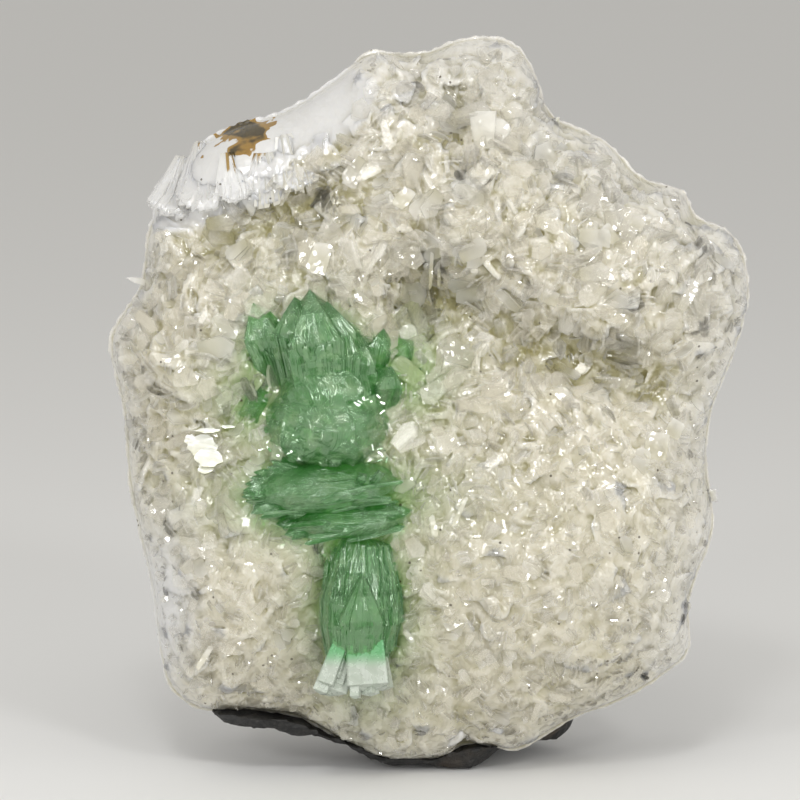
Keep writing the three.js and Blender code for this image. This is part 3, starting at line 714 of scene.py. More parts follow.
def sheaf_tree(material):
    """Stands sheaves on a surface, with its normals and a random lean."""
    tree = bpy.data.node_groups.new("stilbite sheaves", "GeometryNodeTree")
    sockets = {"Bed": "Geometry", "Kinds": "Collection", "Seed": "Int"}
    for title in ("Spacing", "Length", "Unevenness", "Rise", "Lean", "Spin", "Sunk"):
        sockets[title] = "Float"
    for title, kind in sockets.items():
        tree.interface.new_socket(title, in_out="INPUT", socket_type="NodeSocket" + kind)
    tree.interface.new_socket("Sheaves", in_out="OUTPUT", socket_type="NodeSocketGeometry")
    given, leave = node(tree, "NodeGroupInput").outputs, node(tree, "NodeGroupOutput")

    def number(operation, first, second=0.0):
        return node(tree, "ShaderNodeMath", {0: first, 1: second}, operation=operation).outputs[0]

    def named(title, kind="FLOAT"):
        return node(tree, "GeometryNodeInputNamedAttribute", {"Name": title}, data_type=kind).outputs[0]

    def random_between(low, high, offset, kind="FLOAT"):
        seed = number("ADD", given["Seed"], offset)
        first, second, out = {"FLOAT_VECTOR": (0, 1, 0), "FLOAT": (2, 3, 1)}[kind]
        values = {first: low, second: high, "Seed": seed}
        return node(tree, "FunctionNodeRandomValue", values, data_type=kind).outputs[out]

    def facing(values, **settings):
        return node(tree, "FunctionNodeAlignRotationToVector", values, **settings).outputs[0]

    def stored(geometry, title, value, kind):
        values = {"Geometry": geometry, "Name": title, "Value": value}
        settings = {"data_type": kind, "domain": "INSTANCE"}
        return node(tree, "GeometryNodeStoreNamedAttribute", values, **settings).outputs[0]

    crowd = number("DIVIDE", CROWDING, number("POWER", given["Spacing"], 2.0))
    values = {"Mesh": given["Bed"], "Distance Min": given["Spacing"], "Density Max": crowd}
    values |= {"Density Factor": named("room"), "Seed": given["Seed"]}
    scatter = node(tree, "GeometryNodeDistributePointsOnFaces", values, distribute_method="POISSON")
    sway = random_between((-1.0, -1.0, -1.0), ALL_WAYS, 1, "FLOAT_VECTOR")
    outwards = named("outwards", "FLOAT_VECTOR")
    growth = vectors(tree, "ADD", scaled(tree, outwards, given["Rise"]), scaled(tree, sway, given["Lean"]))
    growth = vectors(tree, "NORMALIZE", growth)
    upright = facing({"Vector": growth}, axis="Z")
    turn = facing({"Rotation": upright, "Vector": outwards}, axis="Y", pivot_axis="Z")
    half_turn = number("RADIANS", given["Spin"])
    angle = random_between(number("MULTIPLY", half_turn, -1.0), half_turn, 2)
    spin = node(tree, "FunctionNodeAxisAngleToRotation", {"Axis": UPWARDS, "Angle": angle}).outputs[0]
    turn = node(tree, "FunctionNodeRotateRotation", {0: turn, 1: spin}, rotation_space="LOCAL").outputs[0]
    low = number("SUBTRACT", 1.0, given["Unevenness"])
    high = number("ADD", 1.0, given["Unevenness"])
    size = number("MULTIPLY", given["Length"], random_between(low, high, 3))
    size = number("MULTIPLY", size, named("size"))
    sink = scaled(tree, growth, number("MULTIPLY", number("MULTIPLY", size, given["Sunk"]), -1.0))
    values = {"Geometry": scatter.outputs["Points"], "Offset": sink}
    sunk = node(tree, "GeometryNodeSetPosition", values).outputs[0]
    broad = random_between(SLIMMEST, BROADEST, 4, "FLOAT_VECTOR")
    values = {"Collection": given["Kinds"], "Separate Children": True, "Reset Children": True}
    kinds = node(tree, "GeometryNodeCollectionInfo", values).outputs[0]
    values = {"Points": sunk, "Instance": kinds, "Pick Instance": True}
    values |= {"Rotation": turn, "Scale": scaled(tree, broad, size)}
    stand = node(tree, "GeometryNodeInstanceOnPoints", values).outputs[0]
    toned = stored(stand, "tone", random_between(0.0, 1.0, 5), "FLOAT")
    lying = stored(toned, "bed_normal", outwards, "FLOAT_VECTOR")
    real = node(tree, "GeometryNodeRealizeInstances", {"Geometry": lying}).outputs[0]
    finished = node(tree, "GeometryNodeSetMaterial", {"Geometry": real, "Material": material})
    tree.links.new(finished.outputs[0], leave.inputs[0])
    return tree


sheaves_on_bed = sheaf_tree(stilbite_blades)


def vertex_vectors(mesh):
    """Places in millimetres and normals of a mesh's vertices."""
    places, normals = np.empty(len(mesh.vertices) * 3), np.empty(len(mesh.vertices) * 3)
    mesh.vertices.foreach_get("co", places)
    mesh.vertex_normals.foreach_get("vector", normals)
    return places.reshape(-1, 3) / MM, normals.reshape(-1, 3)


def averaged(mesh, vectors, rounds):
    """Vectors at a mesh's vertices, each replaced so many times by the mean of its neighbours'."""
    count = len(mesh.vertices)
    edges = np.empty(len(mesh.edges) * 2, int)
    mesh.edges.foreach_get("vertices", edges)
    one, other = edges.reshape(-1, 2).T
    ends, starts = np.concatenate([one, other]), np.concatenate([other, one])
    near = np.bincount(starts, minlength=count)
    for _ in range(rounds):
        total = [np.bincount(starts, weights=vectors[ends, axis], minlength=count) for axis in range(3)]
        vectors = np.stack(total, axis=1) / near[:, None]
    return vectors


def keep_outwards(mesh, rounds):
    """Stores the direction that is outwards on the whole round each vertex."""
    normals = averaged(mesh, vertex_vectors(mesh)[1], rounds)
    normals /= np.linalg.norm(normals, axis=1)[:, None] + 1e-9
    layer = mesh.attributes.new("outwards", "FLOAT_VECTOR", "POINT")
    layer.data.foreach_set("vector", normals.astype(np.float32).ravel())


def evaluated(made):
    """An object as its modifiers leave it."""
    bpy.context.view_layer.update()
    return made.evaluated_get(bpy.context.evaluated_depsgraph_get())


def settled(made):
    """Keeps what an object's modifiers made of it as its plain mesh."""
    mesh = bpy.data.meshes.new_from_object(evaluated(made))
    made.modifiers.clear()
    made.data = mesh
    return made


def grow_sheaves(name, ground, values):
    """The sheaves of one class as a plain mesh object."""
    host = mesh_object(name, [(0, 0, 0)], [])
    host.data = ground.data
    grower = host.modifiers.new("sheaves", "NODES")
    grower.node_group = sheaves_on_bed
    for socket in sheaves_on_bed.interface.items_tree:
        if socket.in_out == "INPUT" and socket.name in values:
            grower[socket.identifier] = values[socket.name]
    return settled(host)


def ground_of(body, rounds, sizes, dropped):
    """A body's mesh without the dropped vertices, with the size that blades reach at each place."""
    made = bpy.data.objects.new("ground", body.data.copy())
    keep_outwards(made.data, rounds)
    add_values(made.data, "size", sizes)
    work = bmesh.new()
    work.from_mesh(made.data)
    work.verts.ensure_lookup_table()
    bmesh.ops.delete(work, geom=[work.verts[i] for i in np.flatnonzero(dropped)], context="VERTS")
    work.to_mesh(made.data)
    work.free()
    return made


def growing_ground():
    """The part of the bed that blades grow on: its face and the front of its edge."""
    x, y, z = vertex_vectors(bed.data)[0].T
    out = share_out(x, z)
    buried = (y > RIM_FRONT + 3.2) | ((out < 0.97) & (y > face_y(x, z) + 3))
    return ground_of(bed, 2, 1.0 - 0.35 * np.clip((out - 0.9) / 0.1, 0, 1), buried)


MASS_CELL = 0.4 * MM  # the finest detail kept where blades and bed have grown into one
MASS_FACES = 196000
SMOOTHINGS = (5, 19, 66)  # rounds of smoothing, each after the last, for fine, coarse and broad relief


def even_body(name, work, cell):
    """An object from a bmesh, to be made again as one closed body of even cells."""
    made = bpy.data.objects.new(name, bpy.data.meshes.new(name))
    work.to_mesh(made.data)
    work.free()
    bpy.context.scene.collection.objects.link(made)
    one = made.modifiers.new("one", "REMESH")
    one.mode, one.voxel_size = "VOXEL", cell
    return made


def grown_into_one(name, bodies):
    """Bodies that overlap made into one closed body, whose faces are then thinned to MASS_FACES."""
    work = bmesh.new()
    for body in bodies:
        work.from_mesh(body.data)
    made = even_body(name, work, MASS_CELL)
    triangles = 2 * len(evaluated(made).data.polygons)
    if triangles > MASS_FACES:
        made.modifiers.new("fewer", "DECIMATE").ratio = MASS_FACES / triangles
    settled(made).data.shade_smooth()
    return made


def standing_out(mesh):
    """How far vertices stand out of the mesh smoothed a little, more, and most, in millimetres."""
    places, normals = vertex_vectors(mesh)
    smooth, heights = places, []
    for more_rounds in SMOOTHINGS:
        smooth = averaged(mesh, smooth, more_rounds)
        heights.append(((places - smooth) * normals).sum(axis=1))
    return heights


def upper_share(x, z):
    """1 in the upper half, where crystals are large, falling to 0 at the lower right, where they are fine."""
    return 1 / (1 + np.exp(-(z - 58 - 0.25 * x) / 9))


# Share of the petals' height that is left after the surface filled up between them, and how far its
# smallest pits are closed.
RELIEF_LOW, RELIEF_HIGH, PITS_CLOSED = 0.22, 0.44, 4


def put_vertices(mesh, places):
    """Moves a mesh's vertices to places in millimetres."""
    mesh.vertices.foreach_set("co", (places * MM).ravel())
    mesh.update()


def fill_between(made):
    """Brings the face of a grown body nearer to the crust's own smooth face."""
    places = vertex_vectors(made.data)[0]
    smooth = averaged(made.data, places, PITS_CLOSED)
    x, y, z = places.T
    fine = 0.75 - 0.45 * upper_share(x, z)
    on_face = np.clip((face_y(x, z) + 4 - y) / 3, 0, 1)
    places += (smooth - places) * (fine * on_face)[:, None]
    x, y, z = places.T
    kept = RELIEF_LOW + (RELIEF_HIGH - RELIEF_LOW) * upper_share(x, z)
    y += (face_y(x, z) - 1.2 - y) * (1 - kept) * on_face
    put_vertices(made.data, places)


def give_traits(made, tone, whiteness=0.0):
    """Sets the traits that colour a piece of stilbite at each of its vertices."""
    fine, coarse, broad = standing_out(made.data)
    x, _, z = vertex_vectors(made.data)[0].T
    here = traits(x, z, coarse * 0.8 + broad * 1.2)
    # rise: how far a place stands out of its smoothed surroundings; the colour paints it paler when high and
    # olive when low
    here["rise"] = np.clip(0.55 + fine / 0.35 + coarse / 1.6, 0, 1)
    here["tone"] = np.full(len(x), tone)
    here["white"] = np.maximum(here["white"], whiteness)
    for title, values in here.items():
        add_values(made.data, title, values)


def stilbite_body(made, material):
    """Puts a piece of stilbite in the place of the crust."""
    made.data.materials.clear()
    made.data.materials.append(material)
    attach(made, "root")
    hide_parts("stilbite_crust")
    return made


ground = growing_ground()
large = sheaf_kinds("large_sheaf", 8, blades=4, fan=60, seed=11, thin=0.09, thick=0.15)
small = sheaf_kinds("small_sheaf", 8, blades=3, fan=50, seed=12, thin=0.12, thick=0.2)
petals = grow_sheaves("large_petals", ground, {
    "Kinds": large, "Spacing": 2.5 * MM, "Length": 5.4 * MM, "Unevenness": 0.35, "Rise": 0.6, "Lean": 1.1,
    "Spin": 50, "Sunk": 0.66, "Seed": 3,
})
leaves = grow_sheaves("small_petals", ground, {
    "Kinds": small, "Spacing": 1.5 * MM, "Length": 3.6 * MM, "Unevenness": 0.35, "Rise": 0.6, "Lean": 1.1,
    "Spin": 60, "Sunk": 0.62, "Seed": 21,
})
mass = grown_into_one("stilbite_mass", [bed, petals, leaves])
fill_between(mass)
give_traits(mass, 0.5)
stilbite_body(mass, stilbite_bed)
for made in (bed, petals, leaves):
    bpy.data.objects.remove(made)


def blade_size(x, z, out):
    """How large blades are at each place: largest above the crown, fine at the lower right and at the rim."""
    return (0.8 + 0.5 * upper_share(x, z)) * (1.0 - 0.5 * np.clip((out - 0.88) / 0.1, 0, 1))


def blade_ground():
    """The mass without its back, its green beds and its foot, for the clear blades to stand on."""
    x, y, z = vertex_vectors(mass.data)[0].T
    out = share_out(x, z)
    bare = (y > RIM_FRONT + 0.6) | (z < 1.2) | (out > 0.99)
    return ground_of(mass, 16, blade_size(x, z, out), bare)


ground = blade_ground()
milky = sheaf_kinds("milky_sheaf", 10, blades=3, fan=40, seed=16, thin=0.05, thick=0.1)
clear = sheaf_kinds("clear_sheaf", 10, blades=2, fan=40, seed=15, thin=0.03, thick=0.06)
stilbite_body(grow_sheaves("stilbite_milky_blades", ground, {
    "Kinds": milky, "Spacing": 2.25 * MM, "Length": 4.0 * MM, "Unevenness": 0.35, "Rise": 0.6, "Lean": 1.0,
    "Spin": 50, "Sunk": 0.58, "Seed": 31,
}), stilbite_blades)
stilbite_body(grow_sheaves("stilbite_clear_blades", ground, {
    "Kinds": clear, "Spacing": 2.35 * MM, "Length": 2.8 * MM, "Unevenness": 0.45, "Rise": 1.0, "Lean": 1.4,
    "Spin": 180, "Sunk": 0.66, "Seed": 5,
}), stilbite_blades)
for kinds in (large, small, milky, clear):
    for made in list(kinds.objects):
        bpy.data.objects.remove(made)
    bpy.data.collections.remove(kinds)

# ---------------------------------------------------------------- the thick white sheaves of the ledge
# Five stout sheaves hang side by side over the stained hollow at the upper left. Each is a stack of long
# narrow stilbite blades, snow white where they are thickest, broken off unevenly at the free end.

# How deep a root is set behind the face, how far a free end stands out of it, how thick a sheaf is, and
# how white it is at the least.
LEDGE_LIFT, LEDGE_HANG, LEDGE_THICK, LEDGE_WHITE = 0.6, 3.4, 3.6, 0.8
FOOT_LIFT, FOOT_HANG, FOOT_THICK, FOOT_WHITE = 0.3, 0.5, 1.6, 0.35
# Root and free end of each sheaf (x, z), and its width.
LEDGE_SHEAVES = [
    ((-42, 102), (-44, 93.5), 6.4),
    ((-39, 104.5), (-37.8, 95.2), 6.2),
    ((-34.2, 103.6), (-32.8, 96.6), 5.0),
    ((-28.6, 104), (-28, 95.4), 6.4),
    ((-25, 106.5), (-22.6, 98.4), 7.0),
]
# The same along the crust's lower rim, where its broken columns end over the rock.
FOOT_SHEAVES = [
    ((-11.5, 13), (-12.5, 7.0), 4.0),
    ((-7.5, 12), (-8, 5.2), 4.4),
    ((-3, 13), (-3.2, 4.6), 3.6),
    ((1, 12), (1.2, 4.8), 4.4),
    ((5.5, 14), (6.2, 6.0), 4.0),
    ((10, 15), (11.4, 7.4), 4.6),
    ((14.5, 16), (16.6, 9.4), 4.2),
    ((19, 17), (21.6, 11.6), 4.2),
]


def along_way(part, root, end, facing):
    """A part that stands along +Z, laid from root to end with its broad side turned to facing."""
    up = (Vector(end) - Vector(root)).normalized()
    side = Vector(facing).cross(up).normalized()
    turn = Matrix((side, side.cross(up), up)).transposed()
    return (part[0] @ np.array(turn).T + np.array(root), *part[1:])


def stout_sheaves(places, lift, hang, thick, seed):
    """Sheaves of blades from each root to each free end, which stands out of the crust by hang."""
    draw = random.Random(seed)
    parts = []
    for (rx, rz), (ex, ez), width in places:
        root = Vector((rx, float(face_y(rx, rz)) + lift, rz))
        end = Vector((ex, float(face_y(ex, ez)) - hang, ez))
        length = (end - root).length
        for _ in range(44):
            across, deep = draw.uniform(-1, 1), draw.uniform(-1, 1)
            shorter = 1.04 - 0.2 * across**2 - 0.12 * abs(deep) - draw.uniform(0, 0.06)
            broad, thin = draw.uniform(0.8, 1.7), draw.uniform(0.2, 0.5)
            plate = blade(draw.choice([CHISEL, CHISEL, POINTED]), broad, length * shorter, thin)
            shift = (across * width * 0.2, deep * thick * 0.3, 0)
            plate = turned(plate, across * 17, deep * 9, draw.gauss(0, 30), shift)
            parts.append(along_way(plate, root, end, (0, -1, 0.2)))
    return join_parts(parts)


LEVEL_STEPS, LEVEL_STEPS_PER_METRE = (0.2, 0.5, 1.0), 2200.0  # broad in x and narrow in z


def ledge_material(name, unevenness):
    """Snow-white stilbite, silky along the fibres, its outer faces uneven in fine level steps."""
    made, tree, shader = principled(
        name,
        {"IOR": 1.5, "Transmission Weight": 0.25, "Coat Weight": 0.7, "Coat Roughness": 0.08},
    )
    tree.links.new(stilbite_tint(tree, trait(tree, "tone")), shader.inputs["Base Color"])
    tree.links.new(maths(tree, "MULTIPLY_ADD", trait(tree, "rise"), 0.1, 0.2), shader.inputs["Roughness"])
    level = vectors(tree, "MULTIPLY", own_place(tree), LEVEL_STEPS)
    values = {"Vector": level, "Scale": LEVEL_STEPS_PER_METRE, "Detail": 2.0}
    steps = node(tree, "ShaderNodeTexNoise", values).outputs["Color"]
    own = node(tree, "ShaderNodeNewGeometry").outputs["Normal"]
    tree.links.new(leaned(tree, own, steps, unevenness), shader.inputs["Coat Normal"])
    shadow = node(tree, "ShaderNodeLightPath").outputs["Is Shadow Ray"]
    let_through(tree, shader, (0.86, 0.86, 0.85, 1), shadow)
    return made


def stilbite_piece(name, part, tone, material, white=0.0):
    """A piece of stilbite from a joined part, with the traits its colour needs."""
    places, faces, rise, grain = part
    here = traits(places[:, 0], places[:, 2], np.zeros(len(places)))
    here.update(rise=rise, tone=np.full(len(places), tone), white=np.maximum(here["white"], white))
    return stilbite_body(face_out(mesh_object(name, places, faces, here, grain)), material)


def melted(name, sheaves, whiteness):
    """Sheaves grown into one body, softened where the blades meet."""
    loose = mesh_object("loose_blades", *sheaves[:2])
    made = grown_into_one(name, [loose])
    bpy.data.objects.remove(loose)
    put_vertices(made.data, averaged(made.data, vertex_vectors(made.data)[0], 2))
    give_traits(made, 0.7, whiteness)
    return made


ledge = stout_sheaves(LEDGE_SHEAVES, LEDGE_LIFT, LEDGE_HANG, LEDGE_THICK, seed=41)
stilbite_body(melted("stilbite_ledge_sheaves", ledge, LEDGE_WHITE), stilbite_bed)
stilbite_piece("stilbite_ledge_fibres", ledge, tone=0.7, material=ledge_material("stilbite ledge", 0.2))
foot = stout_sheaves(FOOT_SHEAVES, FOOT_LIFT, FOOT_HANG, FOOT_THICK, seed=43)
stilbite_body(melted("stilbite_foot_sheaves", foot, FOOT_WHITE), stilbite_bed)

# ---------------------------------------------------------------- the single blades that stand out
# A few stilbite blades are larger or lie flatter than their neighbours: the long one seen edge-on over the
# pit, bright cleavage faces at the left, the squarish one at the right, a spike on the left edge.

# Where the small hard lamps stand that crystal faces glint in, and the way from the crystals to the eye.
GLINT_LAMPS = [(-330, -540, 330), (-60, -460, 520), (240, -520, 420), (420, -560, 180), (-150, -640, 120)]
TOWARDS_EYE = Vector((0, -0.988, 0.156))


def glancing(at, lamp_at):
    """The way a face has to look for the lamp to glance off it into the eye."""
    return (TOWARDS_EYE + (Vector(lamp_at) - Vector(at)).normalized()).normalized()


# Middle (x, z), half width, half height, turn in the face, lean aside and upwards, thickness, and how far
# the middle stands out of the crust.
SINGLE_BLADES = [
    ((-1.6, 86.2), 0.32, 3.4, 5, 4, 26, 0.8, 3.4),  # edge-on in the pit
    ((-0.3, 85.2), 0.22, 2.2, -6, -20, 20, 0.7, 2.4),
    ((-19.4, 88.4), 1.7, 2.8, 12, -4, 28, 0.5, 2.4),  # bright face in the recess
    ((35.0, 57.4), 2.0, 2.3, 8, 10, 8, 0.6, 1.8),  # squarish blade at the right
    ((38.0, 59.6), 1.5, 1.6, 30, 20, 4, 0.6, 1.6),
    ((17.4, 81.9), 1.5, 1.2, 20, 8, 16, 0.8, 1.8),  # clear blade right of the pit
    ((3.0, 47.5), 0.4, 2.6, 22, -3, 27, 0.6, 2.2),  # small bright ones over the lower right dome
    ((-1.2, 45.0), 0.5, 1.9, -14, -6, 29, 0.6, 2.0),
    ((-38.5, 22.0), 0.5, 2.3, 30, -3, 27, 0.6, 2.0),
    ((27.0, 92.0), 1.1, 1.8, -30, 4, 28, 0.5, 2.2),
    ((31.5, 93.4), 1.2, 1.4, 20, 6, 24, 0.5, 2.2),
    ((-6.0, 98.0), 1.3, 1.9, 35, -3, 28, 0.5, 2.2),
]


# Outline of a plate with a bevelled side, for a half width and a half height of 1.
BEVELLED = [(-1, -0.7), (-0.6, -1), (0.8, -1), (1, -0.5), (0.95, 0.8), (0.5, 1), (-0.9, 0.85), (-1, 0.2)]
SPIKE_ROOT, SPIKE_TIP = (-47.5, -3.5, 82.0), (-51.6, -5, 83.2)


def square_section(draw, strips, step):
    """The outline of a prism of half width 1, its sides cut into strips that stand out unevenly."""
    outline = []
    for side in range(4):
        inner = [draw.uniform(-0.85, 0.85) * (1 - step) for _ in range(strips - 1)]
        cuts = sorted([step * 1.2 - 1, 1 - step * 1.2] + inner)
        for low, high in zip(cuts, cuts[1:]):
            out = 1 - draw.uniform(0, step)
            for along in (low, high):
                place = Vector((out, along))
                place.rotate(Matrix.Rotation(math.radians(90 * side), 2))
                outline.append(tuple(place))
    return outline


def loft(section, root, tip, stations, turn=0.0, facing=None):
    """A closed body along root to tip: the section at each (distance, scale), closed at both ends."""
    root, tip = Vector(root), Vector(tip)
    axis = (tip - root).normalized()
    side = axis.orthogonal().normalized() if facing is None else Vector(facing).cross(axis).normalized()
    side.rotate(Matrix.Rotation(math.radians(turn), 3, axis))
    other = axis.cross(side)
    n = len(section)
    places = [root + axis * stations[0][0]]
    for distance, scale in stations[1:-1]:
        places += [root + axis * distance + scale * (side * u + other * v) for u, v in section]
    places.append(root + axis * stations[-1][0])
    rows = len(stations) - 2
    faces = [[0, 1 + (i + 1) % n, 1 + i] for i in range(n)]
    for row in range(rows - 1):
        start = 1 + row * n
        faces += [[start + i, start + (i + 1) % n, start + n + (i + 1) % n, start + n + i] for i in range(n)]
    start, last = 1 + (rows - 1) * n, 1 + rows * n
    faces += [[start + i, start + (i + 1) % n, last] for i in range(n)]
    places = np.array(places)
    way = (places - np.array(root)) @ np.array(axis)
    girth = np.concatenate([[0], np.tile(np.arange(n), rows), [0]])
    grain = np.array([(girth[i], way[i]) for face in faces for i in face])
    return places, faces, way / (tip - root).length, grain


def prism(draw, root, tip, half, point, turn=0.0, strips=4, step=0.07, facing=None):
    """One crystal: root and tip, half its width, the height of its pyramid, and its turn."""
    length = (Vector(tip) - Vector(root)).length
    shoulder = max(length - point, length * 0.3)
    stations = [
        (0, 0),
        (0, half * 0.86),
        (shoulder, half),
        (shoulder + (length - shoulder) * 0.55, half * 0.5),
        (length, 0),
    ]
    return loft(square_section(draw, strips, step), root, tip, stations, turn, facing)


def face_at(ground, x, z):
    """y of the crust's finished face."""
    found, place, _, _ = ground.ray_cast(Vector((x, -40, z)) * MM, Vector((0, 1, 0)))
    return place.y / MM if found else 0.0


def single_blades(ground):
    """Flat plates sunk in the crust's face, each with one bevelled side."""
    draw = random.Random(31)
    parts = []
    for (x, z), wide, high, turn, aside, upwards, bulk, proud in SINGLE_BLADES:
        outline = [(u * draw.uniform(0.85, 1.1), v * draw.uniform(0.9, 1.05)) for u, v in BEVELLED]
        plate = blade(outline, wide, high, bulk)
        lie = (
            Matrix.Rotation(math.radians(aside), 3, "Z")
            @ Matrix.Rotation(math.radians(-upwards), 3, "X")
            @ Matrix.Rotation(math.radians(turn), 3, "Y")
        )
        middle = np.array((x, face_at(ground, x, z) - proud, z))
        parts.append((plate[0] @ np.array(lie).T + middle, *plate[1:]))
    square = [(1, 0), (0, 1), (-1, 0), (0, -1)]
    parts.append(loft(square, SPIKE_ROOT, SPIKE_TIP, [(0, 0), (0, 0.9), (3, 0.6), (4.4, 0)]))
    return join_parts(parts)


# Middle of each flat cleavage face (x, z), its half width and half height, and how far it stands out.
CLEAVAGE_FACES = [
    ((-38.6, 57.4), 2.6, 1.9, 2.6),
    ((-37.4, 55.6), 2.5, 1.7, 2.8),
    ((-38.0, 53.9), 1.3, 0.9, 2.7),
    ((-37.6, 60.0), 2.1, 0.45, 2.5),
    ((-34.4, 60.6), 1.2, 0.3, 2.5),
    ((-40.6, 58.2), 0.9, 1.0, 2.5),
]


def cleavage(ground):
    """A bright patch of flat, ragged faces that all look the same way, a step apart."""
    draw = random.Random(37)
    parts = []
    for (x, z), wide, high, proud in CLEAVAGE_FACES:
        middle = Vector((x, face_at(ground, x, z) - proud, z))
        corners = [(2 * math.pi * i / 15, draw.uniform(0.8, 1.1)) for i in range(15)]
        outline = [(reach * math.cos(a), reach * math.sin(a)) for a, reach in corners]
        plate = blade(outline, wide, high, 0.5)
        facing = glancing(middle, GLINT_LAMPS[1]) + Vector([draw.gauss(0, 0.006) for _ in range(3)])
        lie = Vector((0, -1, 0)).rotation_difference(facing).to_matrix()
        parts.append((plate[0] @ np.array(lie).T + np.array(middle), *plate[1:]))
    return join_parts(parts)


stilbite_piece("stilbite_single_blades", single_blades(mass), tone=0.9, material=stilbite_blades)
cleaved_look = ledge_material("stilbite cleavage", unevenness=0.6)
stilbite_piece("stilbite_cleavage_faces", cleavage(mass), tone=0.7, material=cleaved_look, white=0.6)

# ---------------------------------------------------------------- green apophyllite: how a crystal is built
# Apophyllite grows as square prisms with a pyramid on the end and fine stripes along the sides. They
# are clear green glass to look at, and grow together in bunches.


def round_section(draw, strips, step, depth):
    """The outline of a bunch of fibres of radius 1, squeezed to depth from front to back."""
    outline = []
    for i in range(strips):
        out = 1 - draw.uniform(0, step)
        for edge in (i, i + 1):
            a = 2 * math.pi * edge / strips
            outline.append((out * math.cos(a), out * math.sin(a) * depth))
    return outline


def bunch(draw, root, tip, half, point, turn, count, facing=None):
    """A crystal set about with slender ones that lie along its sides and end on its pyramid as steps."""
    root, tip = Vector(root), Vector(tip)
    axis = (tip - root).normalized()
    side = axis.orthogonal().normalized()
    side.rotate(Matrix.Rotation(math.radians(turn), 3, axis))
    other = axis.cross(side)
    length = (tip - root).length
    core = half * 0.9
    parts = [prism(draw, root, tip, core, point, turn, strips=5, step=0.06, facing=facing)]
    for _ in range(count * 2):
        slim = half * draw.uniform(0.1, 0.26)
        inward = draw.choice([1.0, 1.0, draw.uniform(0.3, 1.0)])
        u, v = inward * (half - slim * 0.8), draw.uniform(-1, 1) * (half - slim)
        for _ in range(draw.randrange(4)):
            u, v = -v, u
        off = side * u + other * v
        out = max(abs(u), abs(v)) / half
        reach = length - point * out * draw.uniform(1.0, 1.7)
        start = root + off * 0.8 + axis * length * draw.uniform(0, 0.4)
        end = root + axis * reach + off * draw.uniform(0.92, 1.02)
        peak = slim * draw.uniform(0.9, 2.2)
        askew = turn + draw.gauss(0, 4)
        parts.append(prism(draw, start, end, slim, peak, askew, strips=2, step=0.1, facing=facing))
    return parts


LEAF_GREEN, MILKY_GREEN = (0.14, 0.42, 0.12, 1), (0.38, 0.66, 0.3, 1)
GREEN_DEPTH, GREEN_SHADE = (0.3, 0.85, 0.3, 1), (0.6, 0.86, 0.6, 1)
STRIPES, GREEN_STEPS_PER_METRE = 3.5, 900.0


def green_material(name, unevenness, deeper=0.0):
    """Clear green apophyllite with veils of milk, striped along its sides."""
    constants = {"IOR": 1.535, "Transmission Weight": 0.7}
    constants |= {"Coat Weight": 1.0, "Coat Roughness": 0.04, "Coat IOR": 1.8}
    look, tree, shader = principled(name, constants)
    place = own_place(tree)
    milk = spread(tree, cloud(tree, place, 420, 4.0, 0.6), 0.42 + deeper, 0.72 + deeper)
    tree.links.new(blend_colours(tree, milk, LEAF_GREEN, MILKY_GREEN), shader.inputs["Base Color"])
    tree.links.new(maths(tree, "MULTIPLY_ADD", milk, 0.1, 0.04), shader.inputs["Roughness"])
    grain = node(tree, "ShaderNodeUVMap", uv_map="grain").outputs[0]
    across = node(tree, "ShaderNodeSeparateXYZ", {0: grain}).outputs[0]
    values = {"W": across, "Scale": STRIPES, "Detail": 1.0}
    stripes = node(tree, "ShaderNodeTexNoise", values, noise_dimensions="1D").outputs[0]
    values = {"Height": stripes, "Strength": unevenness, "Distance": 0.25 * MM}
    bump = node(tree, "ShaderNodeBump", values).outputs[0]
    tree.links.new(bump, shader.inputs["Normal"])
    steps = cells(tree, place, GREEN_STEPS_PER_METRE).outputs["Color"]
    tree.links.new(leaned(tree, bump, steps, unevenness), shader.inputs["Coat Normal"])
    values = {"Color": GREEN_DEPTH, "Density": 22.0 + 150 * deeper}
    depth = node(tree, "ShaderNodeVolumeAbsorption", values)
    tree.links.new(depth.outputs[0], tree.nodes["Material Output"].inputs["Volume"])
    shadow = node(tree, "ShaderNodeLightPath").outputs["Is Shadow Ray"]
    let_through(tree, shader, GREEN_SHADE, shadow)
    return look


green_look = green_material("green_apophyllite", unevenness=0.7)
deep_green_look = green_material("deep_green_apophyllite", unevenness=0.7, deeper=0.09)


def green_piece(name, parts, nodes, material=green_look):
    """A piece of grown-together crystals from its parts, standing for one or more of the solids."""
    places, faces, rise, grain = join_parts(parts)
    made = face_out(mesh_object(name, places, faces, {"rise": rise}, grain))
    made.data.materials.append(material)
    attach(made, "root")
    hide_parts(*nodes)
    return made


# ---------------------------------------------------------------- the green crown and the dome below it
# The largest cluster: a stout crystal that points up, with slimmer ones at its shoulders and a leaf of
# thin ones to the left. Below, short crystals spread from one middle as a dome.

# Root, tip, half width, point, turn and number of slender companions of each crystal of the crown.
CROWN = [
    ((-18.5, -15, 60), (-21, -24.6, 83.9), 4.6, 7.5, 45, 26),
    ((-20.5, -14, 60), (-23.5, -22.8, 82.4), 3.6, 5, 20, 16),
    ((-17.5, -14, 60), (-18.2, -23.4, 81.8), 3.8, 5, 70, 18),
    ((-16.5, -14, 60), (-15.8, -22.4, 79.2), 3.8, 5, 35, 16),
    ((-15, -14, 60), (-13.2, -21.2, 76.4), 3.6, 4, 45, 14),
    ((-24, -12, 62), (-30.2, -19.5, 81), 3.4, 5, 40, 18),
    ((-24, -12, 62), (-27.6, -18.6, 79.6), 3.0, 5, 65, 12),
    ((-12, -14, 62), (-9.2, -20.5, 77), 1.8, 3, 30, 7),
    ((-11, -14, 60), (-8, -21.5, 71), 2.4, 3, 60, 8),
]
DOME_MIDDLE, DOME_SIZE = Vector((-18.3, -16.4, 61.2)), Vector((10.8, 10.6, 7.8))
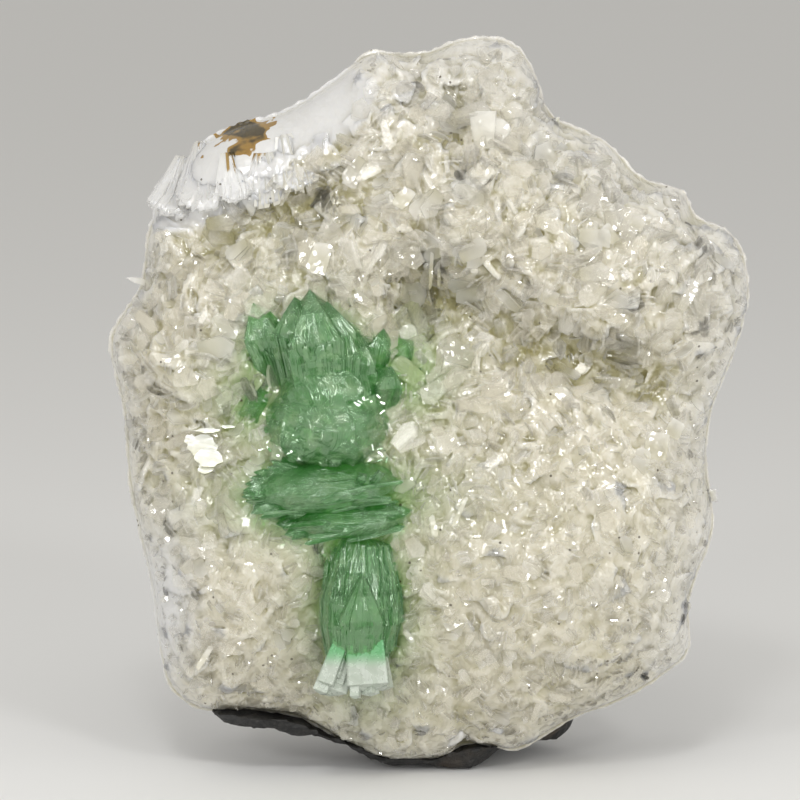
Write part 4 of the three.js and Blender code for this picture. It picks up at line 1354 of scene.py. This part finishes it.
DOME_TOP = (Vector((-18.0, -17.2, 66.0)), Vector((8.2, 8.2, 7.4)))
DOME_CRYSTALS = [
    ((-18, -14, 62), (-25.8, -24.6, 58.5), 3.2, 2.2, 15, 5),
    ((-18, -14, 62), (-10.8, -25.0, 63.5), 3.2, 2.2, 65, 5),
    ((-18, -14, 62), (-13.5, -26.0, 57.6), 3.0, 2.2, 5, 5),
]
# Where tiny flat faces lie together and sparkle (x, z), how far they spread, and how many there are.
SPARKLES = [
    ((-23.4, 75.0), 1.8, 16),
    ((-17.0, 72.3), 1.0, 8),
    ((-16.4, 63.4), 1.1, 10),
    ((-10.8, 64.6), 1.2, 12),
    ((-25.6, 57.6), 1.6, 14),
    ((-22.8, 60.0), 1.4, 10),
    ((-10.8, 57.4), 1.2, 9),
    ((-17.8, 58.6), 1.6, 9),
    ((-20.6, 80.0), 1.4, 8),
]


def crown():
    """The upright crystals, each in its bunch."""
    draw = random.Random(7)
    parts = []
    for crystal in CROWN:
        parts += bunch(draw, *crystal)
    return parts


def ball(draw, middle, size, rows, around):
    """A closed lump of flat facets, a little uneven."""
    places = [(0, 0, -1)]
    for row in range(1, rows):
        up = -math.cos(math.pi * row / rows)
        out = math.sin(math.pi * row / rows)
        for i in range(around):
            a = 2 * math.pi * (i + 0.5 * (row % 2)) / around
            rough = draw.uniform(0.975, 1.01)
            places.append((out * math.cos(a) * rough, out * math.sin(a) * rough, up * rough))
    places.append((0, 0, 1))
    places = np.array(places) * np.array(size)
    last = len(places) - 1
    faces = [[0, 1 + (i + 1) % around, 1 + i] for i in range(around)]
    for row in range(rows - 2):
        here, there = 1 + row * around, 1 + (row + 1) * around
        for i in range(around):
            j = (i + 1) % around
            faces += [[here + i, here + j, there + i], [here + j, there + j, there + i]]
    top = last - around
    faces += [[top + i, top + (i + 1) % around, last] for i in range(around)]
    grain = np.array([(places[i][0] + places[i][1], places[i][2]) for face in faces for i in face])
    return places + np.array(middle), faces, np.ones(len(places)), grain


def sparkles():
    """Small flat faces on the front of the crown and the dome, each turned so that a lamp glances off it."""
    draw = random.Random(17)
    front = join_parts(crown() + dome())[0]
    parts = []
    for (x, z), spread_out, count in SPARKLES:
        for _ in range(count):
            at_x, at_z = x + draw.gauss(0, spread_out), z + draw.gauss(0, spread_out)
            near = front[(abs(front[:, 0] - at_x) < 2.0) & (abs(front[:, 2] - at_z) < 2.0)]
            deep = np.quantile(near[:, 1], 0.12) if len(near) else -20.0
            middle = Vector((at_x, max(deep, -27.6), at_z))
            facing = glancing(middle, draw.choice(GLINT_LAMPS))
            facing += Vector([draw.gauss(0, 0.02) for _ in range(3)])
            along = facing.orthogonal()
            along.rotate(Matrix.Rotation(draw.uniform(0, 6.28), 3, facing))
            long = draw.uniform(0.1, 0.4)
            half = draw.uniform(0.06, 0.16)
            ends = middle - along * long, middle + along * long
            parts.append(prism(draw, *ends, half, point=0.1, turn=0, strips=1, step=0.02, facing=facing))
    return parts


def dome():
    """Two lumps set all over with short stubby crystals."""
    draw = random.Random(8)
    parts = [ball(draw, DOME_MIDDLE, DOME_SIZE * 0.95, rows=18, around=30)]
    parts.append(ball(draw, *DOME_TOP, rows=12, around=20))
    for crystal in DOME_CRYSTALS:
        parts += bunch(draw, *crystal)
    for _ in range(110):
        way = Vector((draw.gauss(0, 1), -abs(draw.gauss(0, 1)) - 0.15, draw.gauss(0, 1) - 0.35)).normalized()
        skin = Vector([a * b for a, b in zip(way, DOME_SIZE)]) * draw.uniform(0.9, 0.99)
        half = draw.uniform(0.4, 1.3)
        root = DOME_MIDDLE + skin * 0.5
        sway = Vector((draw.gauss(0, 0.5), draw.gauss(0, 0.3), draw.gauss(0, 0.5)))
        tip, peak = DOME_MIDDLE + skin + sway, half * draw.uniform(0.4, 0.9)
        parts.append(prism(draw, root, tip, half, peak, turn=draw.uniform(0, 90), strips=3))
    return parts


green_piece("green_crown", crown(), ["apophyllite_crown"])
green_piece("green_dome", dome(), ["apophyllite_crown"])
flat_look = green_material("apophyllite_flat_faces", unevenness=0.02)
green_piece("green_sparkling_faces", sparkles(), ["apophyllite_crown"], flat_look)

# ---------------------------------------------------------------- the two flat green clusters
# Two flat rounded bodies lie one over the other under the dome, the upper one drawn out to the left in a
# spray of narrow crystals, with two glassy laths standing across its front.


def slab(draw, middle, size, lean, laths):
    """A flat rounded body with narrow crystals half sunk in its front, all lying one way."""
    middle, size = Vector(middle), Vector(size)
    slope = math.radians(lean)
    places, faces, rise, _ = ball(draw, (0, 0, 0), size, rows=10, around=34)
    turn = np.array(Matrix.Rotation(slope, 3, "Y"))
    grain = np.array([(places[i][2] * 2.5, places[i][0]) for face in faces for i in face])
    parts = [(places @ turn.T + np.array(middle), faces, rise, grain)]
    along = Vector((math.cos(slope), 0, -math.sin(slope)))
    for _ in range(laths):
        at, up = draw.uniform(-0.75, 0.75), draw.uniform(-0.85, 0.85)
        deep = -size.y * math.sqrt(max(1 - at**2 - up**2, 0.05))
        centre = middle + along * (at * size.x) + Vector((0, deep * 0.97, up * size.z))
        half_run = draw.uniform(2.0, 4.5)
        tilt = Vector((0, draw.gauss(0, 0.25) + at * 0.5, draw.gauss(0, 0.12)))
        run = (along + tilt).normalized() * half_run * draw.choice([-1, 1])
        thin = draw.uniform(0.25, 0.6)
        askew = draw.uniform(0, 90)
        parts.append(prism(draw, centre - run, centre + run, thin, thin * 2, askew, strips=2, step=0.08))
    return parts


def spray(draw, root, ends, count, half):
    """Narrow crystals that fan out from one root to ends between two places."""
    parts = []
    for i in range(count):
        share = i / (count - 1)
        tip = Vector(ends[0]).lerp(Vector(ends[1]), share)
        tip.x += math.copysign((share - 0.4) ** 2 * 14 + draw.uniform(-0.4, 2.4), root[0] - tip.x)
        tip += Vector((0, draw.gauss(0, 0.9), draw.gauss(0, 0.35)))
        start = Vector(root) + Vector((draw.gauss(0, 1.5), draw.gauss(0, 1.2), (share - 0.5) * 3))
        thick = half * draw.uniform(0.6, 1.3)
        askew = draw.uniform(0, 90)
        parts.append(prism(draw, start, tip, thick, thick * 2.4, askew, strips=3, step=0.08))
    return parts


# Root, tip and turn of the two laths.
LATHS = [
    ((-12.4, -19, 49.2), (-9.6, -26.0, 54.6), 0),
    ((-14.8, -19, 48.8), (-12.4, -26.0, 54.2), 30),
]


def flat_clusters():
    """The two slabs, their sprays, and the laths across the front."""
    draw = random.Random(9)
    parts = slab(draw, (-18.4, -16.8, 50.9), (12.3, 9.2, 4.5), lean=-4, laths=9)
    parts += slab(draw, (-14.6, -16.3, 45.4), (9.4, 7.4, 3.2), lean=-4, laths=12)
    parts += spray(draw, (-21, -18, 51), ((-32.8, -20.5, 46.2), (-32.0, -19, 55.6)), count=30, half=0.9)
    parts += spray(draw, (-18, -15, 46), ((-26.5, -19, 42.6), (-29, -19.5, 46.8)), count=10, half=0.8)
    parts += spray(draw, (-12, -16, 45.6), ((-5.2, -18, 45), (-6, -18.5, 48.2)), count=9, half=0.9)
    parts += bunch(draw, (-13, -16, 45.4), (-4.6, -18.6, 47), 1.6, 2.6, 45, 4)
    for root, tip, turn in LATHS:
        parts.append(prism(draw, root, tip, half=0.7, point=0.8, turn=turn, strips=3))
    return parts


green_piece("green_flat_clusters", flat_clusters(), ["apophyllite_disc"], deep_green_look)

# ---------------------------------------------------------------- the upright green sheaf
# A barrel of upright green fibres grown round one clear crystal with its point up. Below, the fibres end
# in broken white ends.

# Radius and height of each station of the barrel, and its middle in x and y.
BARREL = [(0, 22.6), (5.4, 22.6), (6.9, 27.5), (7.2, 31.8), (5.8, 37.4), (4.2, 41.6), (0, 42.2)]
BARREL_MIDDLE = (-12.8, -17.2)
CLEAR_CRYSTAL = ((-13.4, -16.4, 22.8), (-12.6, -23.6, 37.4))  # root and tip


def barrel():
    """The bulging bunch of fibres, each bent over the bulge, with the clear crystal in its front."""
    draw = random.Random(10)
    bottom, top = BARREL[0][1], BARREL[-1][1]
    stations = [(z - bottom, r) for r, z in BARREL]
    section = round_section(draw, strips=34, step=0.08, depth=0.86)
    x, y = BARREL_MIDDLE
    parts = [loft(section, (x - 0.9, y, bottom), (x + 0.7, y, top), stations, facing=(0, -1, 0))]
    for _ in range(70):
        around = draw.uniform(math.pi, 2 * math.pi)
        across, deep = math.cos(around), math.sin(around) * 0.86
        low, high = draw.uniform(22.6, 29), draw.uniform(33, 42.4)
        slim = draw.uniform(0.2, 0.55)
        top_reach = 4.3 if high > 39 else 5.6
        start = (x + across * 5.3, y + deep * 5.3, low)
        end = (x + across * top_reach, y + deep * top_reach, high)
        middle = Vector((x + across * 6.5, y + deep * 6.5, 31.5))
        parts.append(prism(draw, start, middle + Vector((0, 0, 3)), slim, 2, draw.uniform(0, 90), 2))
        parts.append(prism(draw, middle - Vector((0, 0, 3)), end, slim, slim * 3, draw.uniform(0, 90), 2))
    parts.append(prism(draw, *CLEAR_CRYSTAL, half=3.6, point=7, turn=45, strips=5, step=0.04))
    return parts


# Root, tip, half width and turn of the two crystals that come out below the barrel.
BROKEN_CRYSTALS = [
    ((-14.4, -17.4, 28), (-18.2, -20.6, 16.6), 2.4, 35),
    ((-12.4, -17.4, 28), (-11.6, -21.4, 17.2), 3.4, 50),
]
LOWEST_END = 16.6


def broken_ends():
    """Two blunt crystals, each with shorter ones about its end."""
    draw = random.Random(12)
    parts = []
    for root, tip, half, turn in BROKEN_CRYSTALS:
        parts.append(prism(draw, root, tip, half, point=1.2, turn=turn, strips=6, step=0.1))
        for _ in range(11):
            off = Vector([draw.uniform(-0.8, 0.8) * half for _ in range(3)])
            end = Vector(tip) + off + Vector((0, 0, 1.2))
            end.z = max(end.z, LOWEST_END + draw.uniform(0, 1))
            thick, turned_by = draw.uniform(0.7, 1.4), draw.uniform(0, 90)
            start = Vector(root) + off * 0.6
            parts.append(prism(draw, start, end, thick, point=0.4, turn=turned_by, strips=2))
    return parts


green_piece("green_sheaf", barrel(), ["apophyllite_sheaf"], deep_green_look)


FROST_DULL, FROST_BRIGHT, FROST_GREEN = (0.55, 0.62, 0.52, 1), (0.66, 0.72, 0.63, 1), (0.16, 0.5, 0.2, 1)
FROST_TOP = (21.5 * MM, 24.5 * MM)  # heights between which the frost gives way to green


def frosted_material():
    """Broken, whitened apophyllite that is still green at its upper end."""
    look, tree, shader = principled("frosted_apophyllite", {"IOR": 1.535, "Transmission Weight": 0.35})
    place = own_place(tree)
    height = node(tree, "ShaderNodeSeparateXYZ", {0: place}).outputs[2]
    greener = spread(tree, height, *FROST_TOP)
    mottle = spread(tree, cloud(tree, place, 520, 3.0, 0.6), 0.3, 0.7)
    white = blend_colours(tree, mottle, FROST_DULL, FROST_BRIGHT)
    tree.links.new(blend_colours(tree, greener, white, FROST_GREEN), shader.inputs["Base Color"])
    tree.links.new(maths(tree, "MULTIPLY_ADD", mottle, 0.3, 0.1), shader.inputs["Roughness"])
    return look


green_piece("green_sheaf_broken_ends", broken_ends(), ["apophyllite_sheaf"], frosted_material())

# ---------------------------------------------------------------- the small green crystals beside the crown
# Short single crystals that come out of the crust to the right and the left of the crown.

# Root, tip, half width, point, turn and number of pairs of slender companions.
RIGHT_CRYSTALS = [
    ((-7.6, -11, 70), (-5.4, -18.4, 74.5), 1.9, 2.2, 30, 5),
    ((-6.4, -11, 67.5), (-3, -17.6, 70), 2, 2.2, 70, 5),
]
LEFT_CRYSTALS = [
    ((-29, -10, 62.5), (-31, -19.2, 63.6), 2.2, 2.4, 20, 6),
    ((-28.6, -10, 64), (-30.4, -19.2, 66.4), 2.0, 2.0, 60, 5),
]


def few(crystals, seed):
    """Several bunches drawn with one seed."""
    draw = random.Random(seed)
    return [part for crystal in crystals for part in bunch(draw, *crystal)]


green_piece("green_crystals_right", few(RIGHT_CRYSTALS, seed=13), ["apophyllite_right_satellite"])
green_piece("green_crystals_left", few(LEFT_CRYSTALS, seed=14), ["apophyllite_left_satellite"])

# ---------------------------------------------------------------- the dark rock behind
# The basalt the crystals grew on: hard, fine-grained and nearly black, rough where it was broken, and
# flat under the foot.


ROCK_CELL = 1.1 * MM
ROCK_BLACK, ROCK_GREY, ROCK_RUST = (0.006, 0.006, 0.006, 1), (0.028, 0.027, 0.025, 1), (0.05, 0.036, 0.022, 1)


def basalt_mesh():
    """The rock's solid, with its broken surface roughened."""
    solid = frame["nodes"]["basalt_matrix"]
    work = bmesh.new()
    work.from_mesh(solid.data)
    bmesh.ops.transform(work, matrix=solid.matrix_world, verts=work.verts)
    bmesh.ops.remove_doubles(work, verts=work.verts, dist=1e-6)
    made = settled(even_body("basalt_rock", work, ROCK_CELL))
    mesh = made.data
    normals = [vertex.normal.copy() for vertex in mesh.vertices]
    for vertex, normal in zip(mesh.vertices, normals):
        place = vertex.co / MM
        chip = noise.fractal(place * 0.11, 0.9, 2.2, 4) * 0.9 + 0.35 * noise.noise(place * 0.9)
        vertex.co += normal * (chip - 0.5) * MM
        vertex.co.z = max(vertex.co.z, 0.0)
    mesh.shade_flat()
    return made


def basalt_material():
    """Nearly black rock with fine grey grains and a few rusty stains."""
    look, tree, shader = principled("basalt", {"IOR": 1.55})
    place = own_place(tree)
    grain = cloud(tree, place, 1400, 4.0, 0.65)
    stain = cloud(tree, place, 90, 3.0)
    dark = blend_colours(tree, spread(tree, grain, 0.4, 0.7), ROCK_BLACK, ROCK_GREY)
    rusty = blend_colours(tree, spread(tree, stain, 0.56, 0.75), dark, ROCK_RUST)
    tree.links.new(rusty, shader.inputs["Base Color"])
    tree.links.new(maths(tree, "MULTIPLY_ADD", grain, 0.35, 0.45), shader.inputs["Roughness"])
    bump = node(tree, "ShaderNodeBump", {"Height": grain, "Strength": 0.7, "Distance": 0.5 * MM})
    tree.links.new(bump.outputs[0], shader.inputs["Normal"])
    return look


rock = basalt_mesh()
rock.data.materials.clear()
rock.data.materials.append(basalt_material())
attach(rock, "root")
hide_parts("basalt_matrix")

# ---------------------------------------------------------------- the table, the light and the camera
# A pale seamless floor, a large soft lamp above the front, a weaker one at the right, and small hard lamps
# that the crystal faces glint in.

FLOOR, FLOOR_REACH = (0.8, 0.8, 0.79, 1), 3000


def floor():
    """The pale floor, which reaches far behind the piece."""
    corners = [(x * FLOOR_REACH, y * FLOOR_REACH, 0) for x, y in ((-1, -1), (1, -1), (1, 1), (-1, 1))]
    made = mesh_object("floor", corners, [[0, 1, 2, 3]])
    made.data.materials.append(principled("floor", {"Base Color": FLOOR, "Roughness": 0.9})[0])


def lamp(name, at, size, watts, aim=(0, -10, 62)):
    """A square lamp that looks at the middle of the piece."""
    light = bpy.data.lights.new(name, "AREA")
    light.size, light.energy = size * MM, watts
    made = bpy.data.objects.new(name, light)
    bpy.context.scene.collection.objects.link(made)
    made.location = Vector(at) * MM
    made.rotation_euler = ((Vector(aim) - Vector(at)) * MM).to_track_quat("-Z", "Y").to_euler()


floor()
lamp("key", (-120, -420, 620), size=420, watts=0.73)
lamp("fill", (520, -380, 200), size=420, watts=0.6)
for i, at in enumerate(GLINT_LAMPS):
    lamp(f"glint_{i}", at, size=90, watts=0.58)

world = bpy.data.worlds.new("studio")
world.use_nodes = True
sky = world.node_tree.nodes["Background"].inputs
sky["Color"].default_value, sky["Strength"].default_value = (1, 0.98, 0.94, 1), 0.58
bpy.context.scene.world = world
bpy.context.scene.view_settings.view_transform = "Standard"
bounces = bpy.context.scene.cycles
bounces.max_bounces, bounces.transmission_bounces = 4, 3
bounces.diffuse_bounces, bounces.glossy_bounces = 2, 2

CAMERA_AIM = Vector((-6.6, -10, 63.7)) * MM
CAMERA_TILT = 9.0
CAMERA_LENS = 200.0
CAMERA_FIELD = 130.6 * MM

camera = bpy.data.objects.new("camera", bpy.data.cameras.new("camera"))
bpy.context.scene.collection.objects.link(camera)
camera.data.lens = CAMERA_LENS
distance = CAMERA_FIELD * CAMERA_LENS / camera.data.sensor_width
tilt = math.radians(CAMERA_TILT)
camera.location = CAMERA_AIM + distance * Vector((0, -math.cos(tilt), math.sin(tilt)))
camera.rotation_euler = (math.pi / 2 - tilt, 0, 0)
camera.data.clip_start, camera.data.clip_end = distance * 0.1, distance * 20
bpy.context.scene.camera = camera
